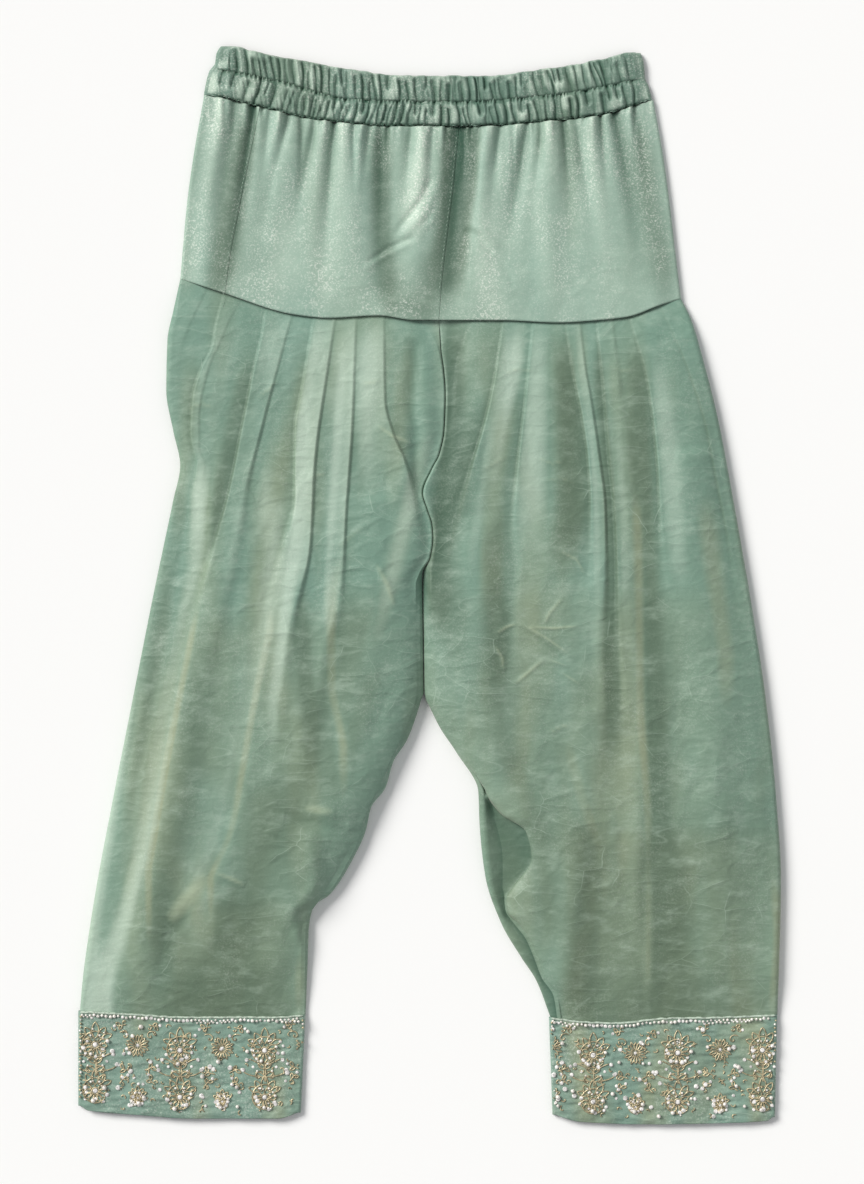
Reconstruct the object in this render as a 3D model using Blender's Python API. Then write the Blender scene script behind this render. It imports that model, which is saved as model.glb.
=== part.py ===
"""Salwar trousers laid flat on a surface, front side up, waist towards +Y.

Elastic waistband, plain fitted yoke, two wide pleated legs and two embroidered cuffs.
Sizes are in millimetres from the middle of the garment's outline on the surface it lies on:
x runs across the garment, y runs up from hem to waist and z rises from the surface.
"""

from collections import namedtuple
from math import pi

import bmesh
import bpy
import numpy as np

MM = 0.001
GARMENT = "salwar_trousers"

# Driving sizes
CLOTH = 1.5
SEAM_GAP = 0.3
UNDER_GAP = 0.6
LEG_ROLL = 5.0
YOKE_ROLL = 2.7
CUFF_ROLL = 3.0
BAND_ROLL = 3.6
INNER_ROLL = 5.0
CROTCH_Y = 10.0
HEAD_Y = 229.0
HEM_Y = -372.0

# How a leg's upper cloth settles towards its edges
DOME_RUN = 60.0
INNER_LOW = 0.5
INNER_RUN = 14.0
SEAM_REST = 5.2
SEAM_RISE = 0.14
YOKE_SETTLE = 26.0
CUFF_SETTLE = 30.0
EDGE_CALM = 12.0
LOWEST_TOP = 4.4
INSEAM_REST = 5.0
ROLLED_FROM = -158.0
ROLLED_OVER = 34.0
SLIT_RADIUS = 6.0

# Gathers of the waistband
UPPER_GATHERS = 38
LOWER_GATHERS = 48
COLUMNS_PER_GATHER = 3

# Long edges, each a row of (x, y) points from left to right
BAND_TOP = (
    (-184, 460), (-176, 465), (-137, 457), (-86, 448), (-25, 440), (43, 439), (99, 445), (147, 453),
    (177, 460), (184, 455),
)
UPPER_STITCHES = (
    (-185, 445), (-124, 432), (-67, 418), (3, 416), (26, 416), (100, 421), (150, 429), (186, 437),
)
LOWER_STITCHES = (
    (-194, 424), (-143, 412), (-99, 402), (-30, 396), (43, 396), (98, 400), (145, 405), (191, 419),
)
YOKE_FOOT = (
    (-215, 264), (-176, 251), (-117, 233), (-87, 230), (-44, 232), (-12, 228),
    (60, 228), (111, 226), (145, 228), (171, 231), (196, 240), (217, 247),
)
LEFT_CUFF_TOP = ((-303, -367), (-262, -369), (-205, -372), (-133, -372), (-107, -370))
LEFT_CUFF_FOOT = ((-303, -447), (-294, -453), (-250, -457), (-205, -460), (-131, -460), (-111, -454))
RIGHT_CUFF_TOP = ((103, -372), (123, -375), (160, -377), (202, -373), (249, -372), (300, -370))
RIGHT_CUFF_FOOT = ((106, -456), (132, -463), (190, -465), (249, -464), (291, -462), (298, -456))

# Upright edges, each a row of (y, x) points from waist to hem
BAND_LEFT = ((465, -180), (458, -184), (450, -185), (443, -190), (427, -194), (405, -197))
BAND_RIGHT = ((460, 182), (450, 185), (437, 186), (430, 189), (419, 192), (405, 195))
YOKE_LEFT = ((425, -194), (408, -197), (374, -203), (331, -209), (288, -213), (264, -215))
YOKE_RIGHT = ((425, 192), (408, 195), (374, 201), (331, 207), (288, 212), (247, 217))
SIDE_SEAM = ((412, -146), (369, -155), (324, -164), (282, -172), (251, -176))
CENTRE_SEAM = ((400, 26), (348, 21), (291, 14), (265, 11), (228, 8))
CROTCH_SEAM = (
    (229, 8), (205, 9.4), (185, 12), (164, 13.4), (134, 12.4), (112, 8), (100, 2), (79, -5.8),
    (65, -1.8), (52, 2.2), (40, 3), (25, 1), (9, -5.6),
)
# How high the crotch seam lies at each y, in the slit between the legs
SEAM_HEIGHT = ((229, 4.2), (205, 5.6), (164, 7.2), (80, 8), (30, 7.4), (9, 6))

Level = namedtuple("Level", "y height")
LEG_LOFT = (
    Level(264, 8), Level(205, 11), Level(150, 15), Level(80, 18), Level(0, 20), Level(-100, 21),
    Level(-200, 20), Level(-270, 16), Level(-320, 12), Level(-350, 9.5), Level(-377, 8),
)

# A pleat or fold that runs down a leg: its line is (y, x) points, the cloth is raised on the
# side that `high` names (+1 away from the middle of the garment, -1 towards it), falls away
# over `reach` there and lies in a hollow on the other side. It shows from y `top` to y `end`.
Fold = namedtuple("Fold", "name line high crest reach trough hollow top end")
LEFT_FOLDS = (
    Fold("overlap", ((230, -39), (160, -38), (128, -30), (108, -21), (84, -14), (60, -9), (40, -5),
                     (25, -6), (0, -18), (-47, -24), (-92, -28), (-133, -42), (-175, -62), (-212, -79),
                     (-267, -101), (-297, -116), (-372, -124)),
         1, 3.5, 22, 3.5, 10, 250, 60),
    Fold("centre_pleat", ((230, -63), (139, -66), (65, -71), (-13, -75), (-53, -86), (-92, -92),
                          (-123, -98), (-185, -105), (-236, -112), (-297, -129), (-372, -142)),
         1, 3, 12, 4.5, 14, 250, -110),
    Fold("centre_back", ((230, -73), (153, -83), (56, -91), (-4, -91), (-43, -98), (-99, -106),
                         (-150, -114), (-236, -127), (-297, -148), (-372, -164)),
         -1, 2, 9, 2, 6, 150, -90),
    Fold("second_pleat", ((230, -81), (195, -86), (106, -98), (32, -102), (-43, -118), (-87, -122),
                          (-150, -131), (-219, -143), (-271, -165), (-322, -184), (-372, -194)),
         1, 3.5, 11, 4.5, 10, 250, -120),
    Fold("second_back", ((230, -100), (168, -110), (134, -116), (75, -116), (28, -127), (-35, -142),
                         (-102, -153), (-177, -163), (-236, -178), (-283, -207), (-309, -222),
                         (-372, -228)),
         -1, 3.5, 15, 3, 9, 250, -330),
    Fold("third_pleat", ((234, -118), (192, -129), (138, -143), (82, -156), (46, -161), (-9, -172),
                         (-60, -186), (-159, -214), (-226, -230), (-280, -245), (-372, -251)),
         1, 2.5, 12, 4, 12, 250, -40),
    Fold("third_back", ((239, -141), (218, -144), (187, -151), (142, -160), (78, -173), (16, -191),
                        (-43, -207), (-159, -233), (-226, -248), (-280, -261), (-372, -271)),
         -1, 4, 16, 3.5, 16, 260, -300),
    Fold("side_pleat", ((245, -163), (228, -172), (209, -180), (186, -190), (143, -198), (118, -198),
                        (103, -193), (73, -198), (-13, -216), (-99, -233), (-185, -250), (-271, -267),
                        (-372, -280)),
         1, 1.5, 8, 1.5, 6, 260, 110),
    Fold("side_edge", ((249, -178), (224, -184), (206, -187), (185, -197), (162, -204), (130, -206),
                       (103, -201), (73, -206), (-13, -224), (-99, -241), (-185, -258), (-271, -275),
                       (-372, -288)),
         -1, 2.5, 10, 4, 9, 262, 95),
    Fold("back_bulge", ((255, -192), (224, -206), (206, -213), (190, -216), (150, -216), (103, -208),
                        (73, -213), (-13, -231), (-99, -248), (-185, -265), (-271, -281), (-372, -294)),
         1, 1.5, 9, 2.5, 6, 262, 195),
)
RIGHT_FOLDS = (
    Fold("crotch_pull", ((226, 36), (208, 28), (180, 22.5), (150, 20.5), (120, 18), (79, 15), (52, 13),
                         (20, 9), (-13, 10), (-47, 8), (-92, 9), (-123, 25), (-153, 40), (-178, 57),
                         (-197, 70), (-212, 90), (-235, 95), (-261, 80), (-281, 77), (-292, 87),
                         (-321, 102), (-345, 112), (-372, 119)),
         1, 2.5, 12, 2.5, 8, 240, 130),
    Fold("first_pleat", ((226, 63), (180, 56), (143, 48), (99, 35), (67, 26), (40, 19), (22, 16),
                         (-13, 18), (-47, 16), (-92, 19), (-123, 35), (-153, 52), (-178, 68), (-197, 82),
                         (-212, 96), (-235, 101), (-261, 92), (-281, 91), (-292, 97), (-321, 110),
                         (-345, 118), (-372, 124)),
         1, 4, 20, 4.5, 14, 250, 30),
    Fold("second_pleat", ((226, 89), (150, 81), (99, 75), (47, 71), (18, 74), (-22, 71), (-92, 68),
                          (-123, 71), (-153, 80), (-178, 90), (-212, 105), (-235, 110), (-261, 106),
                          (-292, 109), (-321, 118), (-345, 124), (-372, 129)),
         1, 3, 18, 3.5, 16, 250, -60),
    Fold("third_pleat", ((226, 117), (190, 122), (143, 131), (107, 136), (71, 138), (30, 138), (-22, 136),
                         (-92, 134), (-153, 133), (-212, 134), (-261, 134), (-321, 141), (-372, 148)),
         1, 2.5, 8, 4, 16, 250, 20),
    Fold("third_back", ((226, 130), (190, 134), (160, 139), (111, 146), (67, 151), (9, 152), (-51, 149),
                        (-87, 151), (-212, 152), (-261, 151), (-321, 158), (-372, 165)),
         -1, 3, 9, 4.5, 5, 250, -120),
    Fold("fourth_pleat", ((226, 144), (170, 149), (107, 154), (67, 158), (18, 160), (-51, 161), (-92, 164),
                          (-153, 166), (-212, 166), (-261, 167), (-321, 173), (-372, 182)),
         1, 4, 15, 3.5, 5, 250, -130),
    Fold("ridge", ((226, 158), (160, 166), (107, 172), (-51, 180), (-138, 184), (-211, 184), (-262, 181),
                   (-293, 182), (-321, 188), (-372, 197)),
         -1, 2, 12, 3, 14, 250, -300),
    Fold("fifth_pleat", ((228, 173), (176, 187), (142, 192), (97, 196), (50, 198), (0, 202), (-51, 208),
                         (-138, 214), (-211, 216), (-262, 214), (-321, 217), (-372, 224)),
         1, 3.5, 22, 3, 12, 250, 40),
    Fold("side_pleat", ((241, 199), (190, 221), (138, 238), (91, 247), (47, 256), (0, 264), (-51, 272),
                        (-99, 278), (-185, 287), (-254, 291), (-340, 290), (-372, 288)),
         1, 1.5, 10, 2.5, 9, 262, 0),
)

# A soft swell (height above 0) or soft crease (below 0), `width` wide on each side of its line.
Swell = namedtuple("Swell", "line height width top end")
LEFT_SWELLS = (
    Swell(((190, -12), (158, -15), (134, -12), (97, -12)), -3.0, 5, 215, 90),
    Swell(((-228, -102), (-252, -98), (-267, -104), (-280, -116)), 3.0, 9, -205, -300),
    Swell(((-300, -114), (-318, -106), (-340, -107)), 2.0, 6, -285, -350),
    Swell(((-40, -190), (-180, -215), (-300, -245)), 2.5, 16, 20, -330),
    Swell(((40, -50), (-60, -55), (-180, -78), (-290, -130)), 3.0, 20, 80, -330),
)
RIGHT_SWELLS = (
    Swell(((226, 14), (164, 18), (112, 14), (79, 8), (52, 10), (20, 6)), -5.0, 15, 245, 0),
    Swell(((-140, 138), (-180, 135), (-283, 123), (-330, 120)), 2.5, 12, -100, -350),
    Swell(((20, 40), (-60, 40), (-120, 60)), 2.0, 18, 60, -160),
    Swell(((60, 225), (-100, 245), (-280, 250)), 2.5, 18, 120, -340),
)
YOKE_SWELLS = (
    Swell(((400, -112), (374, -120), (331, -133), (288, -146)), -1.4, 9, 420, 225),
    Swell(((400, -84), (374, -90), (331, -98), (288, -116)), -1.2, 10, 420, 235),
    Swell(((400, -38), (374, -38), (331, -43), (288, -34)), -1.5, 13, 420, 225),
    Swell(((400, 24), (374, 19), (331, 18), (288, 12), (240, 9)), -1.9, 9, 425, 215),
    Swell(((400, 90), (374, 86), (331, 78), (288, 65)), -1.7, 11, 420, 225),
    Swell(((400, 120), (374, 123), (331, 129), (288, 138)), -1.2, 10, 420, 245),
    Swell(((400, 170), (374, 177), (331, 187), (288, 192)), -1.3, 10, 420, 225),
    Swell(((400, -130), (374, -137), (331, -149), (288, -167)), 1.1, 8, 420, 225),
    Swell(((400, -66), (374, -70), (331, -66), (288, -52)), 1.3, 16, 420, 225),
    Swell(((400, 62), (374, 60), (331, 46), (288, 42)), 1.3, 14, 420, 225),
    Swell(((400, 102), (374, 104), (331, 108), (288, 99)), 1.0, 12, 420, 225),
    Swell(((400, 140), (374, 144), (331, 155), (288, 158)), 1.3, 16, 420, 225),
)

LEFT_OUTLINE = (
    (264, -215), (236, -221), (211, -226), (168, -227), (133, -221), (103, -215), (73, -221), (-13, -239),
    (-99, -256), (-185, -273), (-271, -289), (-340, -299), (-372, -302),
)
RIGHT_OUTLINE = (
    (247, 217), (228, 226), (194, 236), (142, 249), (73, 262), (22, 271), (-13, 277), (-99, 290),
    (-185, 299), (-254, 303), (-340, 301), (-372, 300),
)
LEFT_INNER = (
    (30, -6.2), (-13, -5.9), (-38, -5.7), (-50, -5.5), (-80, -5.2), (-92, -5.0), (-99, -7), (-133, -19),
    (-152, -31), (-175, -38), (-191, -50), (-212, -55), (-236, -66), (-267, -86), (-277, -100),
    (-297, -104), (-324, -105), (-372, -107),
)
RIGHT_INNER = (
    (30, -5.7), (-13, -5.4), (-38, -5.2), (-50, -5.0), (-80, -4.7), (-92, -4.4), (-99, -3), (-105, 0),
    (-123, 9), (-144, 23), (-178, 42), (-205, 43), (-251, 48), (-292, 62), (-321, 79), (-341, 92),
    (-372, 104),
)
LEFT_CREST = (
    (229, -6), (205, 6), (185, 10), (164, 11.5), (134, 10.5), (112, 6), (100, 0), (79, -8), (65, -4),
    (52, 0), (40, 1), (25, -1), (10, -8.6), (0, -11.6), (-47, -11.4), (-92, -10.9), (-133, -31),
    (-175, -51), (-212, -67), (-267, -94), (-297, -111), (-372, -118),
)
RIGHT_CREST = (
    (226, 11), (205, 11.6), (185, 14.1), (164, 15.5), (134, 14.5), (112, 10.2), (100, 4.2), (79, -3.4),
    (65, 0.6), (52, 4.4), (40, 5.2), (25, 3.6), (10, 0.8), (-13, 0.7), (-47, 0.9), (-92, 1.6),
    (-123, 14.5), (-144, 29), (-178, 49), (-197, 63), (-212, 84), (-235, 89), (-261, 73), (-270, 68),
    (-281, 69), (-292, 79), (-305, 88), (-321, 95), (-339, 102), (-354, 112), (-372, 115),
)
# Where the right leg's inseam lies, once the leg has rolled enough for it to show on top
RIGHT_INSEAM = (
    (-178, 48), (-197, 54), (-212, 59), (-235, 63), (-261, 63), (-281, 65), (-292, 73), (-305, 83),
    (-321, 90), (-339, 97), (-354, 107), (-372, 110),
)

# A leg's edges and folds. `spaces` counts the columns between neighbouring folds, from the middle out.
Leg = namedtuple("Leg", "name side outline inner crest folds swells cuff_top inseam spaces")
LEFT_LEG = Leg("leg_left", -1, LEFT_OUTLINE, LEFT_INNER, LEFT_CREST, LEFT_FOLDS, LEFT_SWELLS,
               LEFT_CUFF_TOP, None, (2, 3, 0, 0, 1, 2, 2, 1, 0, 0, 0))
RIGHT_LEG = Leg("leg_right", 1, RIGHT_OUTLINE, RIGHT_INNER, RIGHT_CREST, RIGHT_FOLDS, RIGHT_SWELLS,
                RIGHT_CUFF_TOP, RIGHT_INSEAM, (0, 1, 2, 2, 0, 0, 1, 1, 2, 0))
LEG_ROWS = (
    229, 212, 186, 152, 118, 84, 54, 28, 6, -20, -56, -98, -136, -164, -186, -210, -240, -276, -318,
    -352, -372,
)
UNDER_COLUMNS = 6
FRONT_COLUMNS = 7
FOLD_RISER = 3.0
# Above and below these heights a leg's rows bend towards the line of the yoke or the cuff
BENT_ABOVE = 130.0
BENT_BELOW = -290.0

# Centres of the raised embroidery on the cuffs, from each cuff's left edge
MOTIF_PITCH = 73.0
LEFT_CUFF_FIRST = 15.0
RIGHT_CUFF_FIRST = 38.0
MOTIF_RADIUS = 15.0
MOTIF_HEIGHT = 1.5
MOTIF_ROWS = (0.34, 0.78)
TURNED_UNDER = 1.5

# Half the height of the slot inside a flattened ring, and how many spaces its underside has
SLOT = 0.4
RING_UNDER = 12


def along(rows, place):
    """Values on a smooth curve through (place, value) rows, held level past both ends."""
    where, value = np.array(sorted(rows), float).T
    step = np.diff(where)
    slope = np.diff(value) / step
    tangent = np.zeros(len(where))
    before, after = slope[:-1], slope[1:]
    same_way = before * after > 0
    tangent[1:-1][same_way] = (2 * before * after)[same_way] / (before + after)[same_way]
    tangent[0] = slope[0]
    tangent[-1] = slope[-1]
    place = np.clip(place, where[0], where[-1])
    k = np.clip(np.searchsorted(where, place, side="right") - 1, 0, len(step) - 1)
    t = (place - where[k]) / step[k]
    bend = (t**3 - 2 * t**2 + t) * tangent[k] + (t**3 - t**2) * tangent[k + 1]
    return value[k] + (3 * t**2 - 2 * t**3) * (value[k + 1] - value[k]) + step[k] * bend


def ease(t):
    """A soft step from 0 to 1 as t goes from 0 to 1."""
    t = np.clip(t, 0, 1)
    return t * t * (3 - 2 * t)


def shown(y, top, end, fade=28.0):
    """How much of a fold shows at y, fading in below `top` and out above `end`."""
    return ease((top - y) / 10) * ease((y - end) / fade + 0.5)


def swell_height(swells, x, y):
    total = np.zeros(np.broadcast(x, y).shape)
    for swell in swells:
        off = (x - along(swell.line, y)) / swell.width
        total = total + swell.height * np.exp(-off * off) * shown(y, swell.top, swell.end)
    return total


def fold_height(folds, side, x, y):
    """Rise and fall of the pleats at x, y. Each is a step, high on one side of its line."""
    total = np.zeros(np.broadcast(x, y).shape)
    for fold in folds:
        off = fold.high * side * (x - along(fold.line, y))
        high = ease(off / FOLD_RISER + 0.5)
        raised = high * fold.crest * np.exp(-np.maximum(off, 0) / fold.reach)
        sunk = (1 - high) * fold.trough * np.exp(np.minimum(off, 0) / fold.hollow)
        total = total + (raised - sunk) * shown(y, fold.top, fold.end)
    return total


def leg_top(leg, x, y):
    """Height of a leg's upper cloth at x, y."""
    side = leg.side
    from_outer = side * (along(leg.outline, y) - x) - LEG_ROLL
    from_crest = side * (x - along(leg.crest, y))
    below_yoke = np.maximum(along(YOKE_FOOT, x) - y, 0)
    above_cuff = np.maximum(y - along(leg.cuff_top, x), 0)
    dome = ease(0.5 + 0.5 * np.clip(from_outer / DOME_RUN, 0, 1)) * 2 - 1
    settled = (1 - 0.9 * np.exp(-below_yoke / YOKE_SETTLE)) * (1 - 0.9 * np.exp(-above_cuff / CUFF_SETTLE))
    rim = np.minimum(2 * LEG_ROLL, SEAM_REST + SEAM_RISE * np.minimum(below_yoke, above_cuff))
    lowered = INNER_LOW * ease((CROTCH_Y - y) / 40) * np.exp(-np.maximum(from_crest, 0) / INNER_RUN)
    height = (rim + np.maximum(along(LEG_LOFT, y) - rim, 0) * dome * settled) * (1 - lowered)
    pleats = fold_height(leg.folds, side, x, y) + swell_height(leg.swells, x, y)
    shown_near_seams = (1 - 0.75 * np.exp(-below_yoke / 9)) * (1 - 0.8 * np.exp(-above_cuff / 14))
    calm = ease(from_outer / EDGE_CALM + 0.1)
    return np.maximum(height + pleats * shown_near_seams * calm, LOWEST_TOP)


def polyline(points, place):
    """Points at fractional index `place` along a row of (out, z) points."""
    points = np.array(points, float)
    index = np.arange(len(points))
    return [(np.interp(p, index, points[:, 0]), np.interp(p, index, points[:, 1])) for p in place]


def slit_slope(reach, rise):
    """From the crotch seam up to a leg's crest: a straight slope, then an arc that ends level."""
    radius = min(0.95 * reach, SLIT_RADIUS)
    far = np.hypot(rise - radius, reach)
    turn = np.arccos(-radius / far) - np.arctan2(reach, rise - radius)
    arc = []
    for angle in (turn, 2 * turn / 3, turn / 3, 0.0):
        arc.append((reach - radius * np.sin(angle), rise - radius * (1 - np.cos(angle))))
    line = [(arc[0][0] * share, arc[0][1] * share) for share in (0, 1 / 3, 2 / 3)]
    return line + arc


def inner_side(leg, row_y, crest, inner_out):
    """Where a leg is a tube: its front from the inseam up to the crest, and its back from the inseam under.

    `crest` and all points are (out, z). Low on the right leg the inseam has rolled up on top.
    """
    crest_out, crest_z = crest
    gap = SEAM_GAP / 2
    roll = min(INNER_ROLL, 0.45 * crest_z)
    around = [(-90 + 45 * k) * pi / 180 for k in range(5)]
    rolled = [(inner_out + roll - roll * np.cos(a), roll + roll * np.sin(a)) for a in around]
    on_top = 0.0
    inseam_out = inner_out + roll + 2
    if leg.inseam:
        on_top = float(ease((ROLLED_FROM - row_y) / ROLLED_OVER))
        inseam_out = float(leg.side * along(leg.inseam, row_y))

    def between_rolls(under, over):
        return np.interp(on_top, (0, 1), (under, over))

    seat_out = between_rolls(inner_out + roll + 0.6, inseam_out)
    seat_z = between_rolls(2 * roll + 0.3, INSEAM_REST)
    foot_out = max(crest_out - 3.2, seat_out + 0.8)
    foot_z = between_rolls(0.5 * (seat_z + crest_z), INSEAM_REST + 0.6)
    flank_out = max(crest_out - 1.6, foot_out + 0.8)
    flank_z = seat_z + 0.75 * (crest_z - seat_z)
    profile = [(inner_out + roll + 5, 0.0)] + rolled
    profile += [(seat_out, seat_z), (foot_out, foot_z), (flank_out, flank_z), crest]

    slit = between_rolls(0.75, 6.0)
    first = slit + between_rolls(0.25, 0.5)
    front = polyline(profile, [slit] + list(np.linspace(first, len(profile) - 1, FRONT_COLUMNS - 1)))
    back = polyline(profile, np.linspace(0, slit, FRONT_COLUMNS))[::-1]
    apart = gap if on_top == 1 else -gap * (1 - on_top)
    front[0] = (front[0][0] + apart, front[0][1])
    back[0] = (back[0][0] - apart, back[0][1])
    return front, back


def slit_side(leg, row_y, crest, seam_out):
    """Above the crotch: a leg's front edge from the crotch seam up to its crest, and its flat back edge."""
    crest_out, crest_z = crest
    seam_z = min(float(along(SEAM_HEIGHT, row_y)), 0.8 * crest_z)
    slope = slit_slope(crest_out - seam_out, crest_z - seam_z)
    front = [(seam_out + across, seam_z + up) for across, up in slope]
    back_edge = seam_out + 6 * float(ease((CROTCH_Y + 30 - row_y) / 20))
    back = [(back_edge + 0.9 * k, 0.0) for k in range(FRONT_COLUMNS)]
    return front, back


def section_of_leg(leg, row_y):
    """One leg section as (out, y, z) points: front edge, top, outer roll, underside, back edge."""
    side = leg.side

    def out_of(line, y):
        return float(side * along(line, y))

    def height(out, y):
        return float(leg_top(leg, side * out, y))

    def row_at(out):
        """The row bends to meet the yoke at its top and the cuff at its foot."""
        x = side * out
        yoke_shift = float(along(YOKE_FOOT, x)) - SEAM_GAP / 2 - HEAD_Y
        cuff_shift = float(along(leg.cuff_top, x)) + SEAM_GAP / 2 - HEM_Y
        return row_y + near_yoke * yoke_shift + near_cuff * cuff_shift

    def placed(line):
        y = row_y
        for _ in range(3):
            out = out_of(line, y)
            y = row_at(out)
        return out

    near_yoke = float(ease((row_y - BENT_ABOVE) / (HEAD_Y - BENT_ABOVE)))
    near_cuff = float(ease((BENT_BELOW - row_y) / (BENT_BELOW - HEM_Y)))
    crest_out = placed(leg.crest)
    crest = (crest_out, height(crest_out, row_at(crest_out)))
    outer_out = placed(leg.outline)
    outer_roll = min(LEG_ROLL, height(outer_out - LEG_ROLL, row_at(outer_out)) / 2)

    # The inner side passes from the slit's form to the tube's at the crotch.
    tube = float(ease((CROTCH_Y + 12 - row_y) / 16))
    seam_out = out_of(CROTCH_SEAM, row_at(0.0)) + SEAM_GAP / 2
    slit_front, slit_back = slit_side(leg, row_y, crest, seam_out)
    tube_front, tube_back = inner_side(leg, row_y, crest, placed(leg.inner))
    front = list(map(tuple, np.array(slit_front) * (1 - tube) + np.array(tube_front) * tube))
    back = list(map(tuple, np.array(slit_back) * (1 - tube) + np.array(tube_back) * tube))[::-1]

    # Upper cloth: two columns on each fold line, and spaces between them.
    top = []
    stops = [crest_out]
    for fold in leg.folds:
        line_out = placed(fold.line)
        stops += [line_out - FOLD_RISER / 2, line_out + FOLD_RISER / 2]
    stops.append(outer_out - outer_roll)
    for number, space in enumerate(leg.spaces):
        start, end = stops[2 * number], stops[2 * number + 1]
        top += [start + (end - start) * (k + 1) / (space + 1) for k in range(space)]
        if number < len(leg.folds):
            top += [stops[2 * number + 1], stops[2 * number + 2]]
    lofted = [(out, height(out, row_at(out))) for out in top]

    turn = [(90 - 45 * k) * pi / 180 for k in range(5)]
    outer = [
        (outer_out - outer_roll + outer_roll * np.cos(a), outer_roll + outer_roll * np.sin(a)) for a in turn
    ]
    start, end = outer[-1][0], back[0][0]
    under = [(start + (end - start) * (k + 1) / (UNDER_COLUMNS + 1), 0.0) for k in range(UNDER_COLUMNS)]
    clear = UNDER_GAP * (near_cuff - near_yoke)
    upper = [(out, row_at(out), z) for out, z in front + lofted + outer]
    return upper + [(out, row_at(out) + clear, z) for out, z in under + back]


def offset_inwards(grid, thickness):
    """The inner face of a cloth wall: each section's points moved in, square to the section."""
    edges = np.diff(grid[:, :, [0, 2]], axis=1)
    edges = edges / np.maximum(np.linalg.norm(edges, axis=2, keepdims=True), 1e-9)
    first, last = edges[:, :1], edges[:, -1:]
    run = np.concatenate([first, edges], axis=1) + np.concatenate([edges, last], axis=1)
    run = run / np.maximum(np.linalg.norm(run, axis=2, keepdims=True), 1e-9)
    inner = grid.copy()
    inner[:, :, 0] += thickness * run[:, :, 1]
    inner[:, :, 2] -= thickness * run[:, :, 0]
    return inner


def cloth_wall(name, outer, inner, material, closed=False, mirrored=False):
    """One body between two grids of (x, y, z) points, joined round its rims.

    `closed` joins its sides into a ring, whose plain inside needs only its two end rows.
    """
    rows, columns = outer.shape[:2]
    mesh = bmesh.new()
    if closed:
        inner = inner[[0, -1]]
    sheets = [[[mesh.verts.new(point * MM) for point in row] for row in grid] for grid in (outer, inner)]

    def face(*corners):
        mesh.faces.new(corners[::-1] if mirrored else corners)

    across = columns if closed else columns - 1
    for i in range(rows - 1):
        for j in range(across):
            n = (j + 1) % columns
            face(sheets[0][i][j], sheets[0][i + 1][j], sheets[0][i + 1][n], sheets[0][i][n])
            if not closed:
                face(sheets[1][i][j], sheets[1][i][n], sheets[1][i + 1][n], sheets[1][i + 1][j])
    for j in range(across):
        n = (j + 1) % columns
        if closed:
            face(sheets[1][0][j], sheets[1][0][n], sheets[1][-1][n], sheets[1][-1][j])
        face(sheets[0][0][j], sheets[0][0][n], sheets[1][0][n], sheets[1][0][j])
        face(sheets[0][-1][n], sheets[0][-1][j], sheets[1][-1][j], sheets[1][-1][n])
    if not closed:
        for i in range(rows - 1):
            face(sheets[0][i + 1][0], sheets[0][i][0], sheets[1][i][0], sheets[1][i + 1][0])
            face(sheets[0][i][-1], sheets[0][i + 1][-1], sheets[1][i + 1][-1], sheets[1][i][-1])
    data = bpy.data.meshes.new(name)
    mesh.to_mesh(data)
    mesh.free()
    data.shade_smooth()
    data.materials.append(material)
    piece = bpy.data.objects.new(name, data)
    garment.objects.link(piece)
    piece.parent = origin
    return piece


def cloth_material(name, colour, roughness):
    material = bpy.data.materials.new(name)
    material.use_nodes = True
    shader = material.node_tree.nodes["Principled BSDF"]
    shader.inputs["Base Color"].default_value = (*colour, 1)
    shader.inputs["Roughness"].default_value = roughness
    shader.inputs["Metallic"].default_value = 0.0
    return material


def make_leg(leg, material):
    rows = [section_of_leg(leg, row_y) for row_y in LEG_ROWS]
    grid = np.array(rows)
    inner = offset_inwards(grid, CLOTH)
    for points in (grid, inner):
        points[:, :, 0] *= leg.side
    return cloth_wall(leg.name, grid, inner, material, mirrored=leg.side < 0)


def yoke_top(x, y):
    """Height of the yoke's upper cloth at x, y."""
    edge = np.minimum(x - along(YOKE_LEFT, y), along(YOKE_RIGHT, y) - x) - YOKE_ROLL
    settled = ease(np.clip(edge / 30, 0, 1))
    folds = swell_height(YOKE_SWELLS, x, y) * ease((y - along(YOKE_FOOT, x)) / 30 + 0.15)
    return 2 * YOKE_ROLL + settled * (1.2 + folds)


def band_foot(x):
    return along(LOWER_STITCHES, x) - 3.5


def yoke_grid(section_at, count):
    """Rows of a yoke piece from waistband to leg. section_at gives (x, z) points at a height share."""
    shares = np.linspace(0, 1, count)
    rows = []
    for share in shares:
        row = []
        for x_of, z_of in section_at:
            y = 330.0
            for _ in range(4):
                x = x_of(y)
                top = float(band_foot(x)) - SEAM_GAP / 2 - (UNDER_GAP if z_of is lies_flat else 0)
                foot = float(along(YOKE_FOOT, x)) + SEAM_GAP / 2
                y = top + (foot - top) * share
            row.append((x, y, z_of(x, y)))
        rows.append(row)
    return np.array(rows)


def between(left, right, share, left_gap=0.0, right_gap=0.0):
    """A column that stays at the same share of the way between two upright edges."""

    def x_of(y):
        start = float(along(left, y)) + left_gap
        end = float(along(right, y)) - right_gap
        return start + (end - start) * share

    return x_of


def rolled_edge(line, direction, angle):
    """A column on the rolled side edge of the yoke: 90 degrees is on top, -90 underneath."""
    turn = angle * pi / 180

    def x_of(y):
        return float(along(line, y)) + direction * YOKE_ROLL * (np.cos(turn) - 1)

    def z_of(x, y):
        return YOKE_ROLL * (1 + np.sin(turn))

    return x_of, z_of


def lies_flat(x, y):
    return 0.0


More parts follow.
